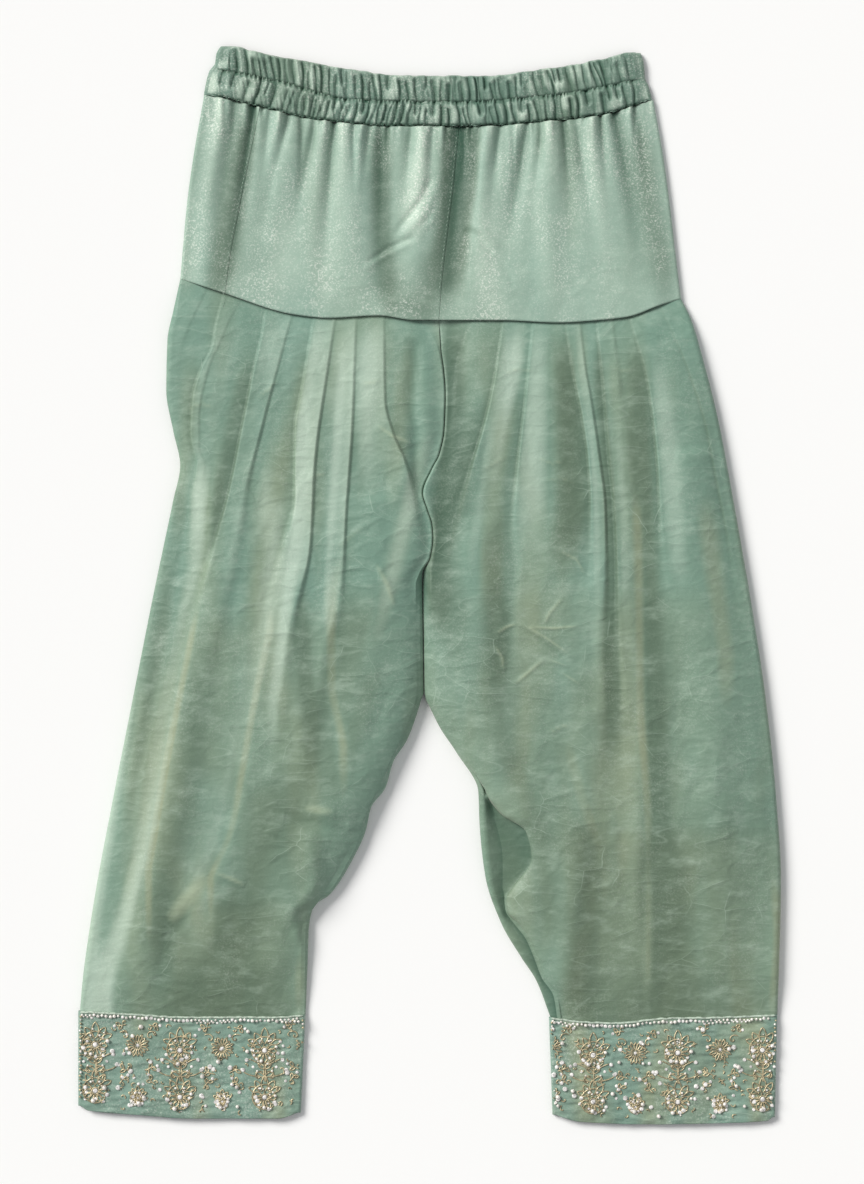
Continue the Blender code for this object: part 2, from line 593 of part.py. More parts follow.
def make_yoke_front_left(material):
    half = SEAM_GAP / 2
    columns = [
        (between(SIDE_SEAM, CENTRE_SEAM, share, half, half), yoke_top) for share in np.linspace(0, 1, 17)
    ]
    grid = yoke_grid(columns, 8)
    return cloth_wall("yoke_front_left", grid, offset_inwards(grid, CLOTH), material)


def make_yoke_front_right(material):
    columns = [
        (between(CENTRE_SEAM, YOKE_RIGHT, share, SEAM_GAP / 2, YOKE_ROLL), yoke_top)
        for share in np.linspace(0, 1, 18)[:-1]
    ]
    columns += [rolled_edge(YOKE_RIGHT, 1, angle) for angle in (90, 45, 0, -45, -90)]
    columns.append((between(YOKE_LEFT, YOKE_RIGHT, 1, 0, YOKE_ROLL + TURNED_UNDER), lies_flat))
    grid = yoke_grid(columns, 8)
    return cloth_wall("yoke_front_right", grid, offset_inwards(grid, CLOTH), material)


def make_yoke_back(material):
    """From the side seam on the front, round the left side, to the right side underneath."""
    strip = [
        (between(YOKE_LEFT, SIDE_SEAM, share, YOKE_ROLL, SEAM_GAP / 2), yoke_top)
        for share in (1, 0.8, 0.6, 0.4, 0.2)
    ]
    columns = strip + [rolled_edge(YOKE_LEFT, -1, angle) for angle in (90, 45, 0, -45, -90)]
    columns += [
        (between(YOKE_LEFT, YOKE_RIGHT, share, YOKE_ROLL, YOKE_ROLL + TURNED_UNDER + SEAM_GAP), lies_flat)
        for share in np.linspace(0, 1, 15)[1:]
    ]
    grid = yoke_grid(columns, 8)
    grid[:, :, 0] *= -1
    inner = offset_inwards(grid, CLOTH)
    grid[:, :, 0] *= -1
    inner[:, :, 0] *= -1
    return cloth_wall("yoke_back", grid, inner, material, mirrored=True)


def gather_phase(share, count, slip):
    """Running count of gathers at a share of the width, a little uneven as in real shirring."""
    drift = 0.5 * np.sin(2 * pi * (2.3 * share + slip)) + 0.35 * np.sin(2 * pi * (5.7 * share + 2.1 * slip))
    return count * share + drift


def gather_height(share, count, slip):
    """0 in the groove between two gathers and 1 on a gather."""
    phase = gather_phase(share, count, slip)
    size = 0.8 + 0.2 * np.sin(2.7 * phase + slip)
    return np.sqrt(np.abs(np.sin(pi * phase))) * size


def flattened_ring(name, rows, sides, roll, y_of, z_of, count, material):
    """A ring of cloth pressed flat: a worked upper wall, rolled sides, plain underside and plain inside.

    `rows` say how far down each line lies. y_of(x, row) and z_of(share, x, row) place the upper wall.
    """
    turn = [angle * pi / 180 for angle in (45, 0, -45)]
    outer_rows, inner_rows = [], []
    for row in rows:
        middle = rows_middle(sides)
        y = y_of(0.5 * (along(sides[0], middle) + along(sides[1], middle)), row)
        ends = []
        for line, inwards in zip(sides, (roll, -roll)):
            end_y = y
            for _ in range(4):
                end_x = float(along(line, end_y)) + inwards
                end_y = y_of(end_x, row)
            ends.append(end_x)
        spread = [ends[0] + (ends[1] - ends[0]) * k / count for k in range(count + 1)]
        front = [(x, y_of(x, row), z_of(k / count, x, row)) for k, x in enumerate(spread)]
        inside = [(x, y, roll + SLOT) for x, y, _ in front]
        sides_out, sides_in = [], []
        for end_x, way, edge_z in ((ends[1], 1, front[-1][2]), (ends[0], -1, front[0][2])):
            rolled, rolled_in = [], []
            for angle in turn[::way]:
                reach, lift = way * np.cos(angle), 0.5 * (1 + 0.8 * np.sin(angle))
                x, x_in = end_x + roll * reach, end_x + SLOT * reach
                rolled.append((x, y_of(x, row), edge_z * lift))
                rolled_in.append((x_in, y_of(x_in, row), roll + SLOT * np.sin(angle)))
            sides_out.append(rolled)
            sides_in.append(rolled_in)
        right, left = sides_out
        right_in, left_in = sides_in
        under = [spread[-1 - count * k // RING_UNDER] for k in range(RING_UNDER + 1)]
        outer_rows.append(front + right + [(x, y_of(x, row), 0.0) for x in under] + left)
        inner_rows.append(inside + right_in + [(x, y_of(x, row), roll - SLOT) for x in under] + left_in)
    return cloth_wall(name, np.array(outer_rows), np.array(inner_rows), material, closed=True)


def rows_middle(sides):
    """The height half way down a pair of upright edges."""
    return 0.5 * (sides[0][0][0] + sides[0][-1][0])


# A line of the waistband: between which two edges it lies and how far down, how much the casing
# puffs up there, how deep its gathers are and whether it takes the upper channel's gathers.
BandRow = namedtuple("BandRow", "edge part puff depth upper")
BAND_ROWS = (
    BandRow(0, 0.0, 0.1, 0.3, True), BandRow(0, 0.14, 0.75, 0.85, True), BandRow(0, 0.55, 1.0, 1.0, True),
    BandRow(0, 1.0, 0.05, 0.5, True), BandRow(1, 0.2, 0.6, 0.9, False), BandRow(1, 0.7, 0.9, 1.0, False),
    BandRow(1, 1.0, 0.0, 0.5, False), BandRow(2, 1.0, 0.2, 0.45, False),
)
BAND_FACE = 5.6
BAND_PUFF = 1.4
GATHER_DEPTH = 2.6


def make_waistband(material):
    def y_of(x, row):
        edges = [float(along(line, x)) for line in (BAND_TOP, UPPER_STITCHES, LOWER_STITCHES)]
        edges.append(float(band_foot(x)) + SEAM_GAP / 2)
        return edges[row.edge] + (edges[row.edge + 1] - edges[row.edge]) * row.part

    def z_of(share, x, row):
        count, slip = (UPPER_GATHERS, 0.2) if row.upper else (LOWER_GATHERS, 0.6)
        from_side = float(ease(min(share, 1 - share) * 20 + 0.2))
        gather = GATHER_DEPTH * row.depth * float(gather_height(share, count, slip))
        return BAND_FACE + from_side * (BAND_PUFF * row.puff + gather)

    count = LOWER_GATHERS * COLUMNS_PER_GATHER
    sides = (BAND_LEFT, BAND_RIGHT)
    return flattened_ring("waistband", BAND_ROWS, sides, BAND_ROLL, y_of, z_of, count, material)


def make_cuff(name, top_edge, foot_edge, first_motif, material):
    """A flattened band whose upper wall carries raised embroidery."""
    left = ((top_edge[0][1], top_edge[0][0]), (foot_edge[0][1], foot_edge[0][0]))
    right = ((top_edge[-1][1], top_edge[-1][0]), (foot_edge[-1][1], foot_edge[-1][0]))

    def y_of(x, down):
        start = float(along(top_edge, x)) - SEAM_GAP / 2
        return start + (float(along(foot_edge, x)) - start) * down

    def z_of(share, x, down):
        raised = 0.0
        for level, centre_down in enumerate(MOTIF_ROWS):
            for number in range(-1, 5):
                centre = top_edge[0][0] + first_motif + MOTIF_PITCH * (number + 0.5 * level)
                height = (down - centre_down) * (y_of(x, 0) - y_of(x, 1))
                raised += MOTIF_HEIGHT * np.exp(-((np.hypot(x - centre, height) / MOTIF_RADIUS) ** 4))
        fade = float(ease(min(share, 1 - share) * 30)) * float(ease(min(down, 1 - down) * 12))
        return 2 * CUFF_ROLL - 0.5 + raised * fade

    rows = np.linspace(0, 1, 10)
    return flattened_ring(name, rows, (left, right), CUFF_ROLL - 0.4, y_of, z_of, 32, material)


for item in list(bpy.data.objects):
    bpy.data.objects.remove(item, do_unlink=True)
garment = bpy.data.collections.new(GARMENT)
bpy.context.scene.collection.children.link(garment)
origin = bpy.data.objects.new(GARMENT + "_origin", None)
garment.objects.link(origin)

mint = cloth_material("mint_organza", (0.36, 0.50, 0.42), 0.42)
embroidered = cloth_material("embroidered_organza", (0.42, 0.46, 0.34), 0.5)

make_waistband(mint)
make_yoke_front_left(mint)
make_yoke_front_right(mint)
make_yoke_back(mint)
make_leg(LEFT_LEG, mint)
make_leg(RIGHT_LEG, mint)
make_cuff("cuff_left", LEFT_CUFF_TOP, LEFT_CUFF_FOOT, LEFT_CUFF_FIRST, embroidered)
make_cuff("cuff_right", RIGHT_CUFF_TOP, RIGHT_CUFF_FOOT, RIGHT_CUFF_FIRST, embroidered)
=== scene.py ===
"""Looks of the salwar trousers laid flat: shot organza, gathers, pleats, creases and cuff embroidery.

Sizes are in millimetres in the part's own frame, x across, y towards the waist and z up from the
surface, and turn into metres where points are placed. The edge and fold tables follow the part's
source to within a few millimetres, and each shell lies on the form of the solid that it replaces.
"""

from collections import namedtuple
from math import cos, pi, sin

import bpy
import numpy as np
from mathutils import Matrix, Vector


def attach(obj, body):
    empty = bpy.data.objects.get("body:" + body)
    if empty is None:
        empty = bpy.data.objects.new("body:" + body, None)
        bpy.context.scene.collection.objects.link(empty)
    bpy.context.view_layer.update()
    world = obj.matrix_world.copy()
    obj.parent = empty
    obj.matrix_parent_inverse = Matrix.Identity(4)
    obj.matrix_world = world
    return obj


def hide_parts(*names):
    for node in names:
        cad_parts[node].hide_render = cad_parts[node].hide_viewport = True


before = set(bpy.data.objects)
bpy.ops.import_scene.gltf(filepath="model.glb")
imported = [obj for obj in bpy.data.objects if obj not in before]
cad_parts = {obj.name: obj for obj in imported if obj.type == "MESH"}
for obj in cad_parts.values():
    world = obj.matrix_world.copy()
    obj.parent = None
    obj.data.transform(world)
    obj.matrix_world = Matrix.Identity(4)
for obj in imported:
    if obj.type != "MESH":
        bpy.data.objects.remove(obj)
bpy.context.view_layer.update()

MM = 0.001

# The photograph's frame: 864 by 1184 pixels of 0.86 mm, seen from straight above
PIXEL = 0.86
VIEW_HEIGHT = 1184 * PIXEL
VIEW_CENTRE = (2.15, -6.0)
CAMERA_HEIGHT = 3012.0
VIEWED_FROM_CLOTH = 3000.0
SENSOR = 36.0

# Sizes of the garment that the part's source gives
SEAM_GAP = 0.3
LEG_ROLL = 5.0
YOKE_ROLL = 2.7
CUFF_ROLL = 3.0
BAND_ROLL = 3.6
CROTCH_Y = 10.0
HEAD_Y = 229.0
HEM_Y = -372.0
TURNED_UNDER = 1.5
BAND_FACE = 5.6
BAND_PUFF = 1.4
MOTIF_PITCH = 73.0
LEFT_CUFF_FIRST = 15.0
RIGHT_CUFF_FIRST = 38.0

# How a leg's upper cloth settles towards its edges
DOME_RUN = 60.0
INNER_LOW = 0.4
INNER_RUN = 14.0
LOBE_LOW = 0.28
LOBE_RUN = 10.0
SEAM_REST = 5.2
SEAM_RISE = 0.14
YOKE_SETTLE = 26.0
CUFF_SETTLE = 30.0
YOKE_CALM = 9.0
CUFF_CALM = 14.0
EDGE_CALM = 12.0
LOWEST_TOP = 4.4

# How a leg's inner side rolls under to its inseam, or over it low on the right leg
INNER_ROLL = 5.4
INSEAM_REST = 5.0
ROLLED_FROM = -158.0
ROLLED_OVER = 34.0
SLIT_RADIUS = 6.0

# Where a leg's rows bend to meet the yoke above and the cuff below
BENT_ABOVE = 130.0
BENT_BELOW = -290.0

# Pleats: the width of a pressed edge and of a soft one, and over how far it softens below `crisp`
CRISP_RISER = 3.3
SOFT_RISER = 15.0
SOFTENS_OVER = 150.0
# How softly a fold ends, and the share of it that the yoke's seam leaves, to how far below its top
FOLD_FADE = 130.0
PRESSED = 0.45
PRESSED_FROM = 20.0
PRESSED_OVER = 120.0
# The share of a fold's height and of its trough's depth that shows, and how tall the creases stand
STEP = 0.45
SINK = 0.6
CREASE_GAIN = 1.1

# How strong the painted sheen and shade bands are, how pale the painted sheen on folds is and how dark the
# painted shade in troughs and soft creases is
BAND_GAIN = 1.3
FOLD_SHEEN = 0.18
FOLD_SHADE = 0.24
SWELL_SHADE = 0.6
# How much darker the cloth is where a pleat's edge faces the light, so that it shows no bright line
LIT_FACE = 1.3
# How pale the painted highlight on an edge's rim is: 1 for an edge that faces the light, -1 for one that
# faces away
RIM_FACE = {1: 0.1, -1: 0.4}
# How dark the painted shade is in the slit, in the small opening below it down to GAP_FOOT and on the cloth
# under a rolled edge, and how pale the painted highlight on the slit's left edge is
SLIT_SHADE = 0.12
GAP_SHADE = 0.7
GAP_FOOT = -52.0
POCKET_SHADE = 6.6
LOBE_RIM = 0.6
# The depth of hollow, in millimetres, at which the painted shade on a leg's and the yoke's cloth is darkest
FULL_SHADE = 10.0
YOKE_FULL_SHADE = 7.0

# The grid of a leg's shell: its rows, which lie closer between the two heights of CREASED, and columns
LEG_ROW_COUNT = 320
CREASED = (10.0, -110.0)
TOP_SPACING = 1.2
FRONT_COLUMNS = 26
SLOPE_COLUMNS = 10
ROLL_COLUMNS = 10
UNDER_COLUMNS = 10
BACK_COLUMNS = 16
# Columns across a pleat's edge: how far each lies from the fold line, from its low to its high side
PLEAT_EDGE = (-2.0, -1.4, -0.8, 0.0, 0.8, 1.4, 2.1)

# The yoke's form and grid, with a height to start from and the angles of its rolled sides
YOKE_LIFT = 3.2
FOLD_DEPTH = 2.0
YOKE_ROWS = 110
YOKE_FRONT_COLUMNS = 165
YOKE_STRIP_COLUMNS = 38
YOKE_UNDER_COLUMNS = 12
YOKE_MIDDLE = 330.0
SIDE_ANGLES = (68, 45, 22, 0, -22, -45, -68, -90)

# Columns of the plain underside of a flattened ring, as the waistband and the cuffs are
RING_UNDER_COLUMNS = 14

# The waistband's columns, the depth of its grooves and how far its puckered stitches lie apart
BAND_MIDDLE = 440.0
BAND_COLUMNS = 640
GROOVE = 3.8
TOOTH = 3.9

# The cuffs' grid and the places of their motifs down the band
CUFF_COLUMNS = 200
CUFF_ROWS = 90
CUFF_MIDDLE = -415.0
BUD_DOWN = 0.33
LOWER_BUD_DOWN = 0.79
STONE_SPACING = 3.5
COIL_RADIUS = 0.58
# Sprays on both sides of a half pitch: aside, share down the band, lean in degrees and size
SPRAYS = ((5, 0.56, -70, 1.0), (16, 0.70, 40, 0.9), (9, 0.10, -100, 0.85))

# Stitches: length, gap between two, distance from their seam and the thread's radius
STITCH = 2.3
STITCH_GAP = 1.3
STITCH_ASIDE = 1.6
THREAD = 0.22

# The white surface that the garment lies on: half its width and its height, in metres
FLOOR_HALF = 30.0
FLOOR_Z = -0.0005

# Long edges, each a row of (x, y) points from left to right
BAND_TOP = (
    (-184, 460), (-176, 465), (-137, 457), (-86, 448), (-25, 440), (43, 439), (99, 445), (147, 453),
    (177, 460), (184, 455),
)
UPPER_STITCHES = (
    (-185, 445), (-124, 432), (-67, 418), (3, 416), (26, 416), (100, 421), (150, 429), (186, 437),
)
LOWER_STITCHES = (
    (-194, 424), (-143, 412), (-99, 402), (-30, 396), (43, 396), (98, 400), (145, 405), (191, 419),
)
YOKE_FOOT = (
    (-215, 264), (-176, 251), (-117, 233), (-87, 230), (-44, 232), (-12, 228),
    (60, 228), (111, 226), (145, 228), (171, 231), (196, 240), (217, 247),
)
LEFT_CUFF_TOP = ((-303, -367), (-262, -369), (-205, -372), (-133, -372), (-107, -370))
LEFT_CUFF_FOOT = ((-303, -447), (-294, -453), (-250, -457), (-205, -460), (-131, -460), (-111, -454))
RIGHT_CUFF_TOP = ((103, -372), (123, -375), (160, -377), (202, -373), (249, -372), (300, -370))
RIGHT_CUFF_FOOT = ((106, -456), (132, -463), (190, -465), (249, -464), (291, -462), (298, -456))

# Upright edges, each a row of (y, x) points from waist to hem
BAND_LEFT = ((465, -180), (458, -184), (450, -185), (443, -190), (427, -194), (405, -197))
BAND_RIGHT = ((460, 182), (450, 185), (437, 186), (430, 189), (419, 192), (405, 195))
YOKE_LEFT = ((425, -194), (408, -197), (374, -203), (331, -209), (288, -213), (264, -215))
YOKE_RIGHT = ((425, 192), (408, 195), (374, 201), (331, 207), (288, 212), (247, 217))
SIDE_SEAM = ((412, -146), (369, -155), (324, -164), (282, -172), (251, -176))
CENTRE_SEAM = ((400, 26), (348, 21), (291, 14), (265, 11), (228, 8))
CROTCH_SEAM = (
    (229, 8), (205, 9.4), (185, 12), (164, 13.4), (134, 12.4), (112, 8), (100, 2), (79, -5.8),
    (65, -1.8), (52, 2.2), (40, 3), (25, 1), (9, -5.6),
)

# How high the crotch seam lies at each y, in the slit between the legs
SEAM_HEIGHT = ((229, 4.6), (205, 7.4), (164, 9.6), (80, 11), (30, 10), (9, 7))

Level = namedtuple("Level", "y height")
LEG_LOFT = (
    Level(264, 8), Level(205, 11), Level(150, 15), Level(80, 18), Level(0, 20), Level(-100, 21),
    Level(-200, 20), Level(-270, 16), Level(-320, 12), Level(-350, 9.5), Level(-377, 8),
)

# A pleat or fold that runs down a leg: its line is (y, x) points, the cloth is raised on the
# side that `high` names (+1 away from the middle of the garment, -1 towards it), falls away
# over `reach` there and lies in a hollow on the other side. It shows from y `top` to y `end`, with
# a pressed edge down to y `crisp` and a soft slope below.
Fold = namedtuple("Fold", "name line high crest reach trough hollow top end crisp")
LEFT_FOLDS = (
    Fold("overlap", ((230, -39), (160, -38), (128, -30), (108, -21), (84, -14), (60, -9), (40, -5),
                     (25, -6), (0, -18), (-47, -24), (-92, -28), (-133, -42), (-175, -62), (-212, -79),
                     (-267, -101), (-297, -116), (-372, -124)),
         1, 3.5, 22, 3.5, 10, 250, 60, 130),
    Fold("centre_pleat", ((230, -63), (139, -66), (65, -71), (-13, -75), (-53, -86), (-92, -92),
                          (-123, -98), (-185, -105), (-236, -112), (-297, -129), (-372, -142)),
         1, 3, 12, 4.5, 14, 250, -110, 50),
    Fold("centre_back", ((230, -73), (153, -83), (56, -91), (-4, -91), (-43, -98), (-99, -106),
                         (-150, -114), (-236, -127), (-297, -148), (-372, -164)),
         -1, 2, 9, 2, 6, 150, -90, 230),
    Fold("second_pleat", ((230, -81), (195, -86), (106, -98), (32, -102), (-43, -118), (-87, -122),
                          (-150, -131), (-219, -143), (-271, -165), (-322, -184), (-372, -194)),
         1, 3.5, 11, 4.5, 10, 250, -120, 40),
    Fold("second_back", ((230, -100), (168, -110), (134, -116), (75, -116), (28, -127), (-35, -142),
                         (-102, -153), (-177, -163), (-236, -178), (-283, -207), (-309, -222),
                         (-372, -228)),
         -1, 3.5, 15, 3, 9, 250, -330, 100),
    Fold("third_pleat", ((234, -118), (192, -129), (138, -143), (82, -156), (46, -161), (-9, -172),
                         (-60, -186), (-159, -214), (-226, -230), (-280, -245), (-372, -251)),
         1, 2.5, 12, 4, 12, 250, -40, 140),
    Fold("third_back", ((239, -141), (218, -144), (187, -151), (142, -160), (78, -173), (16, -191),
                        (-43, -207), (-159, -233), (-226, -248), (-280, -261), (-372, -271)),
         -1, 4, 16, 3.5, 16, 260, -300, 75),
    Fold("side_pleat", ((245, -163), (228, -172), (209, -180), (186, -190), (143, -198), (118, -198),
                        (103, -193), (73, -198), (-13, -216), (-99, -233), (-185, -250), (-271, -267),
                        (-372, -280)),
         1, 1.5, 8, 1.5, 6, 260, 110, 120),
    Fold("side_edge", ((249, -178), (224, -184), (206, -187), (185, -197), (162, -204), (130, -206),
                       (103, -201), (73, -206), (-13, -224), (-99, -241), (-185, -258), (-271, -275),
                       (-372, -288)),
         -1, 2.5, 10, 4, 9, 262, 95, 110),
    Fold("back_bulge", ((255, -192), (224, -206), (206, -213), (190, -216), (150, -216), (103, -208),
                        (73, -213), (-13, -231), (-99, -248), (-185, -265), (-271, -281), (-372, -294)),
         1, 1.5, 9, 2.5, 6, 262, 195, 250),
)
RIGHT_FOLDS = (
    Fold("crotch_pull", ((226, 36), (208, 28), (180, 22.5), (150, 20.5), (120, 18), (79, 15), (52, 13),
                         (20, 9), (-13, 10), (-47, 8), (-92, 9), (-123, 25), (-153, 40), (-178, 57),
                         (-197, 70), (-212, 90), (-235, 95), (-261, 80), (-281, 77), (-292, 87),
                         (-321, 102), (-345, 112), (-372, 119)),
         1, 2.5, 12, 2.5, 8, 240, 130, 200),
    Fold("first_pleat", ((226, 63), (180, 56), (143, 48), (99, 35), (67, 26), (40, 19), (22, 16),
                         (-13, 18), (-47, 16), (-92, 19), (-123, 35), (-153, 52), (-178, 68), (-197, 82),
                         (-212, 96), (-235, 101), (-261, 92), (-281, 91), (-292, 97), (-321, 110),
                         (-345, 118), (-372, 124)),
         1, 4, 20, 4.5, 14, 250, 30, 130),
    Fold("second_pleat", ((226, 89), (150, 81), (99, 75), (47, 71), (18, 74), (-22, 71), (-92, 68),
                          (-123, 71), (-153, 80), (-178, 90), (-212, 105), (-235, 110), (-261, 106),
                          (-292, 109), (-321, 118), (-345, 124), (-372, 129)),
         1, 3, 18, 3.5, 16, 250, -60, 120),
    Fold("third_pleat", ((226, 117), (190, 122), (143, 131), (107, 136), (71, 138), (30, 138), (-22, 136),
                         (-92, 134), (-153, 133), (-212, 134), (-261, 134), (-321, 141), (-372, 148)),
         1, 2.5, 8, 4, 16, 250, 20, 90),
    Fold("third_back", ((226, 130), (190, 134), (160, 139), (111, 146), (67, 151), (9, 152), (-51, 149),
                        (-87, 151), (-212, 152), (-261, 151), (-321, 158), (-372, 165)),
         -1, 3, 9, 4.5, 5, 250, -120, 60),
    Fold("fourth_pleat", ((226, 144), (170, 149), (107, 154), (67, 158), (18, 160), (-51, 161), (-92, 164),
                          (-153, 166), (-212, 166), (-261, 167), (-321, 173), (-372, 182)),
         1, 4, 15, 3.5, 5, 250, -130, 20),
    Fold("ridge", ((226, 158), (160, 166), (107, 172), (-51, 180), (-138, 184), (-211, 184), (-262, 181),
                   (-293, 182), (-321, 188), (-372, 197)),
         -1, 2, 12, 3, 14, 250, -300, 230),
    Fold("fifth_pleat", ((228, 173), (176, 187), (142, 192), (97, 196), (50, 198), (0, 202), (-51, 208),
                         (-138, 214), (-211, 216), (-262, 214), (-321, 217), (-372, 224)),
         1, 3.5, 22, 3, 12, 250, 40, 90),
    Fold("side_pleat", ((241, 199), (190, 221), (138, 238), (91, 247), (47, 256), (0, 264), (-51, 272),
                        (-99, 278), (-185, 287), (-254, 291), (-340, 290), (-372, 288)),
         1, 1.5, 10, 2.5, 9, 262, 0, 60),
)

# A soft swell (height above 0) or soft crease (below 0), `width` wide on each side of its line.
Swell = namedtuple("Swell", "line height width top end")
LEFT_SWELLS = (
    Swell(((190, -12), (158, -15), (134, -12), (97, -12)), -3.0, 5, 215, 90),
    Swell(((-228, -102), (-252, -98), (-267, -104), (-280, -116)), 3.0, 9, -205, -300),
    Swell(((-300, -114), (-318, -106), (-340, -107)), 2.0, 6, -285, -350),
    Swell(((-40, -190), (-180, -215), (-300, -245)), 2.5, 16, 20, -330),
    Swell(((40, -50), (-60, -55), (-180, -78), (-290, -130)), 3.0, 20, 80, -330),
)
RIGHT_SWELLS = (
    Swell(((226, 14), (164, 18), (112, 14), (79, 8), (52, 10), (20, 6)), -5.0, 15, 245, 0),
    Swell(((-140, 138), (-180, 135), (-283, 123), (-330, 120)), 2.5, 12, -100, -350),
    Swell(((20, 40), (-60, 40), (-120, 60)), 2.0, 18, 60, -160),
    Swell(((60, 225), (-100, 245), (-280, 250)), 2.5, 18, 120, -340),
)
# A band of painted sheen or painted shade down a leg: `line` is its (y, x) points, `wide` its half width,
# `tone` how much paler (sheen, above 0) or darker (shade) it is, `warm` how much gold shows, and it runs
# from y `top` to y `end`.
Band = namedtuple("Band", "line wide tone warm top end")
LEFT_BANDS = (
    Band(((-250, -165), (-372, -172)), 60, -0.24, 0.8, -240, -440),
    Band(((-100, -170), (-372, -190)), 60, -0.12, 0.3, -60, -440),
    Band(((-100, -268), (-372, -290)), 18, 0.6, 0.0, -60, -440),
    Band(((-290, -178), (-372, -178)), 76, -0.3, 0.8, -310, -440),
    Band(((225, -150), (60, -165)), 75, 0.2, 0.0, 250, -20),
    Band(((225, -62), (100, -76), (0, -84)), 34, 0.15, 0.1, 245, 40),
    Band(((-20, -60), (-120, -90), (-200, -110)), 24, -0.3, 0.4, 10, -260),
    Band(((-60, -150), (-372, -200)), 125, -0.08, 0.35, 0, -430),
    Band(((16, -197), (-84, -222), (-159, -237), (-242, -252), (-352, -283)), 10, 0.6, 0.5, 120, -390),
    Band(((-10, -198), (-84, -212), (-159, -227), (-242, -241)), 4, 0.2, 1.0, 0, -300),
    Band(((60, -214), (-84, -240), (-200, -262), (-300, -278)), 9, -0.42, 0.0, 110, -330),
    Band(((20, -136), (-94, -158), (-162, -170), (-209, -180), (-251, -197)), 10, 0.5, 0.3, 110, -310),
    Band(((-40, -137), (-94, -149), (-162, -161), (-209, -170), (-251, -188)), 4, 0.2, 1.0, 0, -300),
    Band(((150, -150), (60, -178), (-60, -198), (-180, -214), (-260, -232)), 16, -0.45, 0.15, 200, -320),
    Band(((200, -100), (110, -125), (10, -146), (-50, -160)), 8, -0.3, 0.3, 225, -60),
    Band(((230, -92), (150, -108), (60, -112), (-30, -124), (-100, -134)), 6, 0.4, 0.1, 240, -130),
    Band(((40, -112), (-40, -110), (-100, -104), (-125, -102)), 8, -0.5, 0.0, 20, -150),
    Band(((60, -66), (-13, -84), (-80, -84), (-138, -74)), 5, 0.25, 1.0, 30, -170),
    Band(((200, -74), (60, -84), (-20, -90)), 4, 0.25, 0.0, 220, -40),
    Band(((225, -50), (150, -56), (80, -54)), 9, 0.3, 0.1, 240, 90),
    Band(((235, -48), (190, -50), (150, -54)), 30, 0.25, 0.1, 245, 150),
    Band(((215, -20), (150, -24), (90, -30)), 8, -0.3, 0.6, 230, 80),
    Band(((130, -2), (60, -20), (0, -34), (-60, -50)), 8, 0.35, 0.35, 150, -60),
    Band(((-60, -45), (-120, -62), (-170, -80)), 14, -0.25, 0.3, -40, -200),
    Band(((-160, -135), (-230, -150), (-300, -170), (-372, -190)), 26, -0.35, 0.55, -140, -380),
    Band(((200, -155), (130, -172), (60, -185)), 8, -0.35, 0.2, 225, 40),
    Band(((180, -205), (120, -209), (80, -216)), 9, -0.2, 0.5, 210, 60),
    Band(((-296, -108), (-330, -112), (-372, -112)), 7, 0.2, 0.7, -290, -380),
)
RIGHT_BANDS = (
    Band(((200, 130), (60, 150), (-372, 200)), 150, -0.1, 0.1, 225, -430),
    Band(((-60, 150), (-372, 200)), 125, -0.16, 0.4, 20, -430),
    Band(((-230, 190), (-372, 200)), 110, -0.14, 0.8, -180, -440),
    Band(((-290, 200), (-372, 205)), 110, -0.15, 0.8, -310, -440),
    Band(((229, 20), (164, 22), (100, 14), (60, 10), (20, 4)), 10, -0.55, 0.2, 245, -30),
    Band(((150, 38), (100, 26), (60, 18), (20, 10)), 10, -0.45, 0.0, 180, -30),
    Band(((226, 72), (150, 62), (80, 46), (30, 36)), 8, 0.5, 0.0, 240, 0),
    Band(((229, 80), (180, 74), (110, 62), (50, 52)), 6, 0.5, 0.1, 240, 60),
    Band(((229, 55), (170, 42), (120, 30)), 9, 0.3, 0.2, 235, 110),
    Band(((110, 38), (50, 32), (0, 26), (-50, 22)), 12, -0.3, 0.1, 130, -60),
    Band(((160, 70), (90, 56), (20, 54), (-60, 60)), 10, -0.35, 0.6, 180, -90),
    Band(((229, 98), (120, 92), (20, 90), (-60, 92)), 13, 0.45, 0.0, 240, 50),
    Band(((210, 114), (150, 119), (77, 121), (20, 114)), 14, -0.55, 0.6, 232, 20),
    Band(((229, 130), (180, 131), (150, 134)), 6, 0.4, 0.5, 240, 150),
    Band(((140, 137), (60, 142), (-60, 144), (-160, 142)), 4, 0.25, 0.0, 160, -190),
    Band(((170, 147), (107, 154), (10, 157), (-60, 156), (-100, 157)), 6, -0.5, 0.0, 225, -130),
    Band(((130, 160), (40, 167), (-60, 168), (-180, 172), (-270, 172)), 6, 0.15, 0.0, 160, -250),
    Band(((90, 178), (0, 180), (-100, 181), (-211, 188), (-290, 188)), 5, 0.35, 1.0, 100, -360),
    Band(((190, 180), (140, 180), (60, 184), (-60, 192), (-150, 196)), 10, -0.45, 0.4, 225, -240),
    Band(((190, 196), (120, 206), (40, 212), (-20, 216)), 10, 0.35, 0.0, 220, -10),
    Band(((60, 238), (0, 246), (-60, 254)), 9, 0.2, 0.7, 90, -100),
    Band(((-200, 130), (-260, 138), (-330, 130)), 16, -0.35, 0.8, -180, -372),
    Band(((-220, 200), (-290, 205), (-350, 200)), 17, -0.4, 0.7, -200, -380),
    Band(((-250, 296), (-300, 300), (-360, 296)), 6, 0.1, 0.9, -230, -380),
    Band(((-120, 115), (-180, 130), (-240, 150)), 7, 0.1, 0.8, -110, -300),
    Band(((-130, 60), (-200, 90), (-260, 100)), 12, -0.2, 0.45, -110, -300),
    Band(((-20, 60), (-80, 50), (-130, 60)), 16, -0.2, 0.3, 0, -160),
)

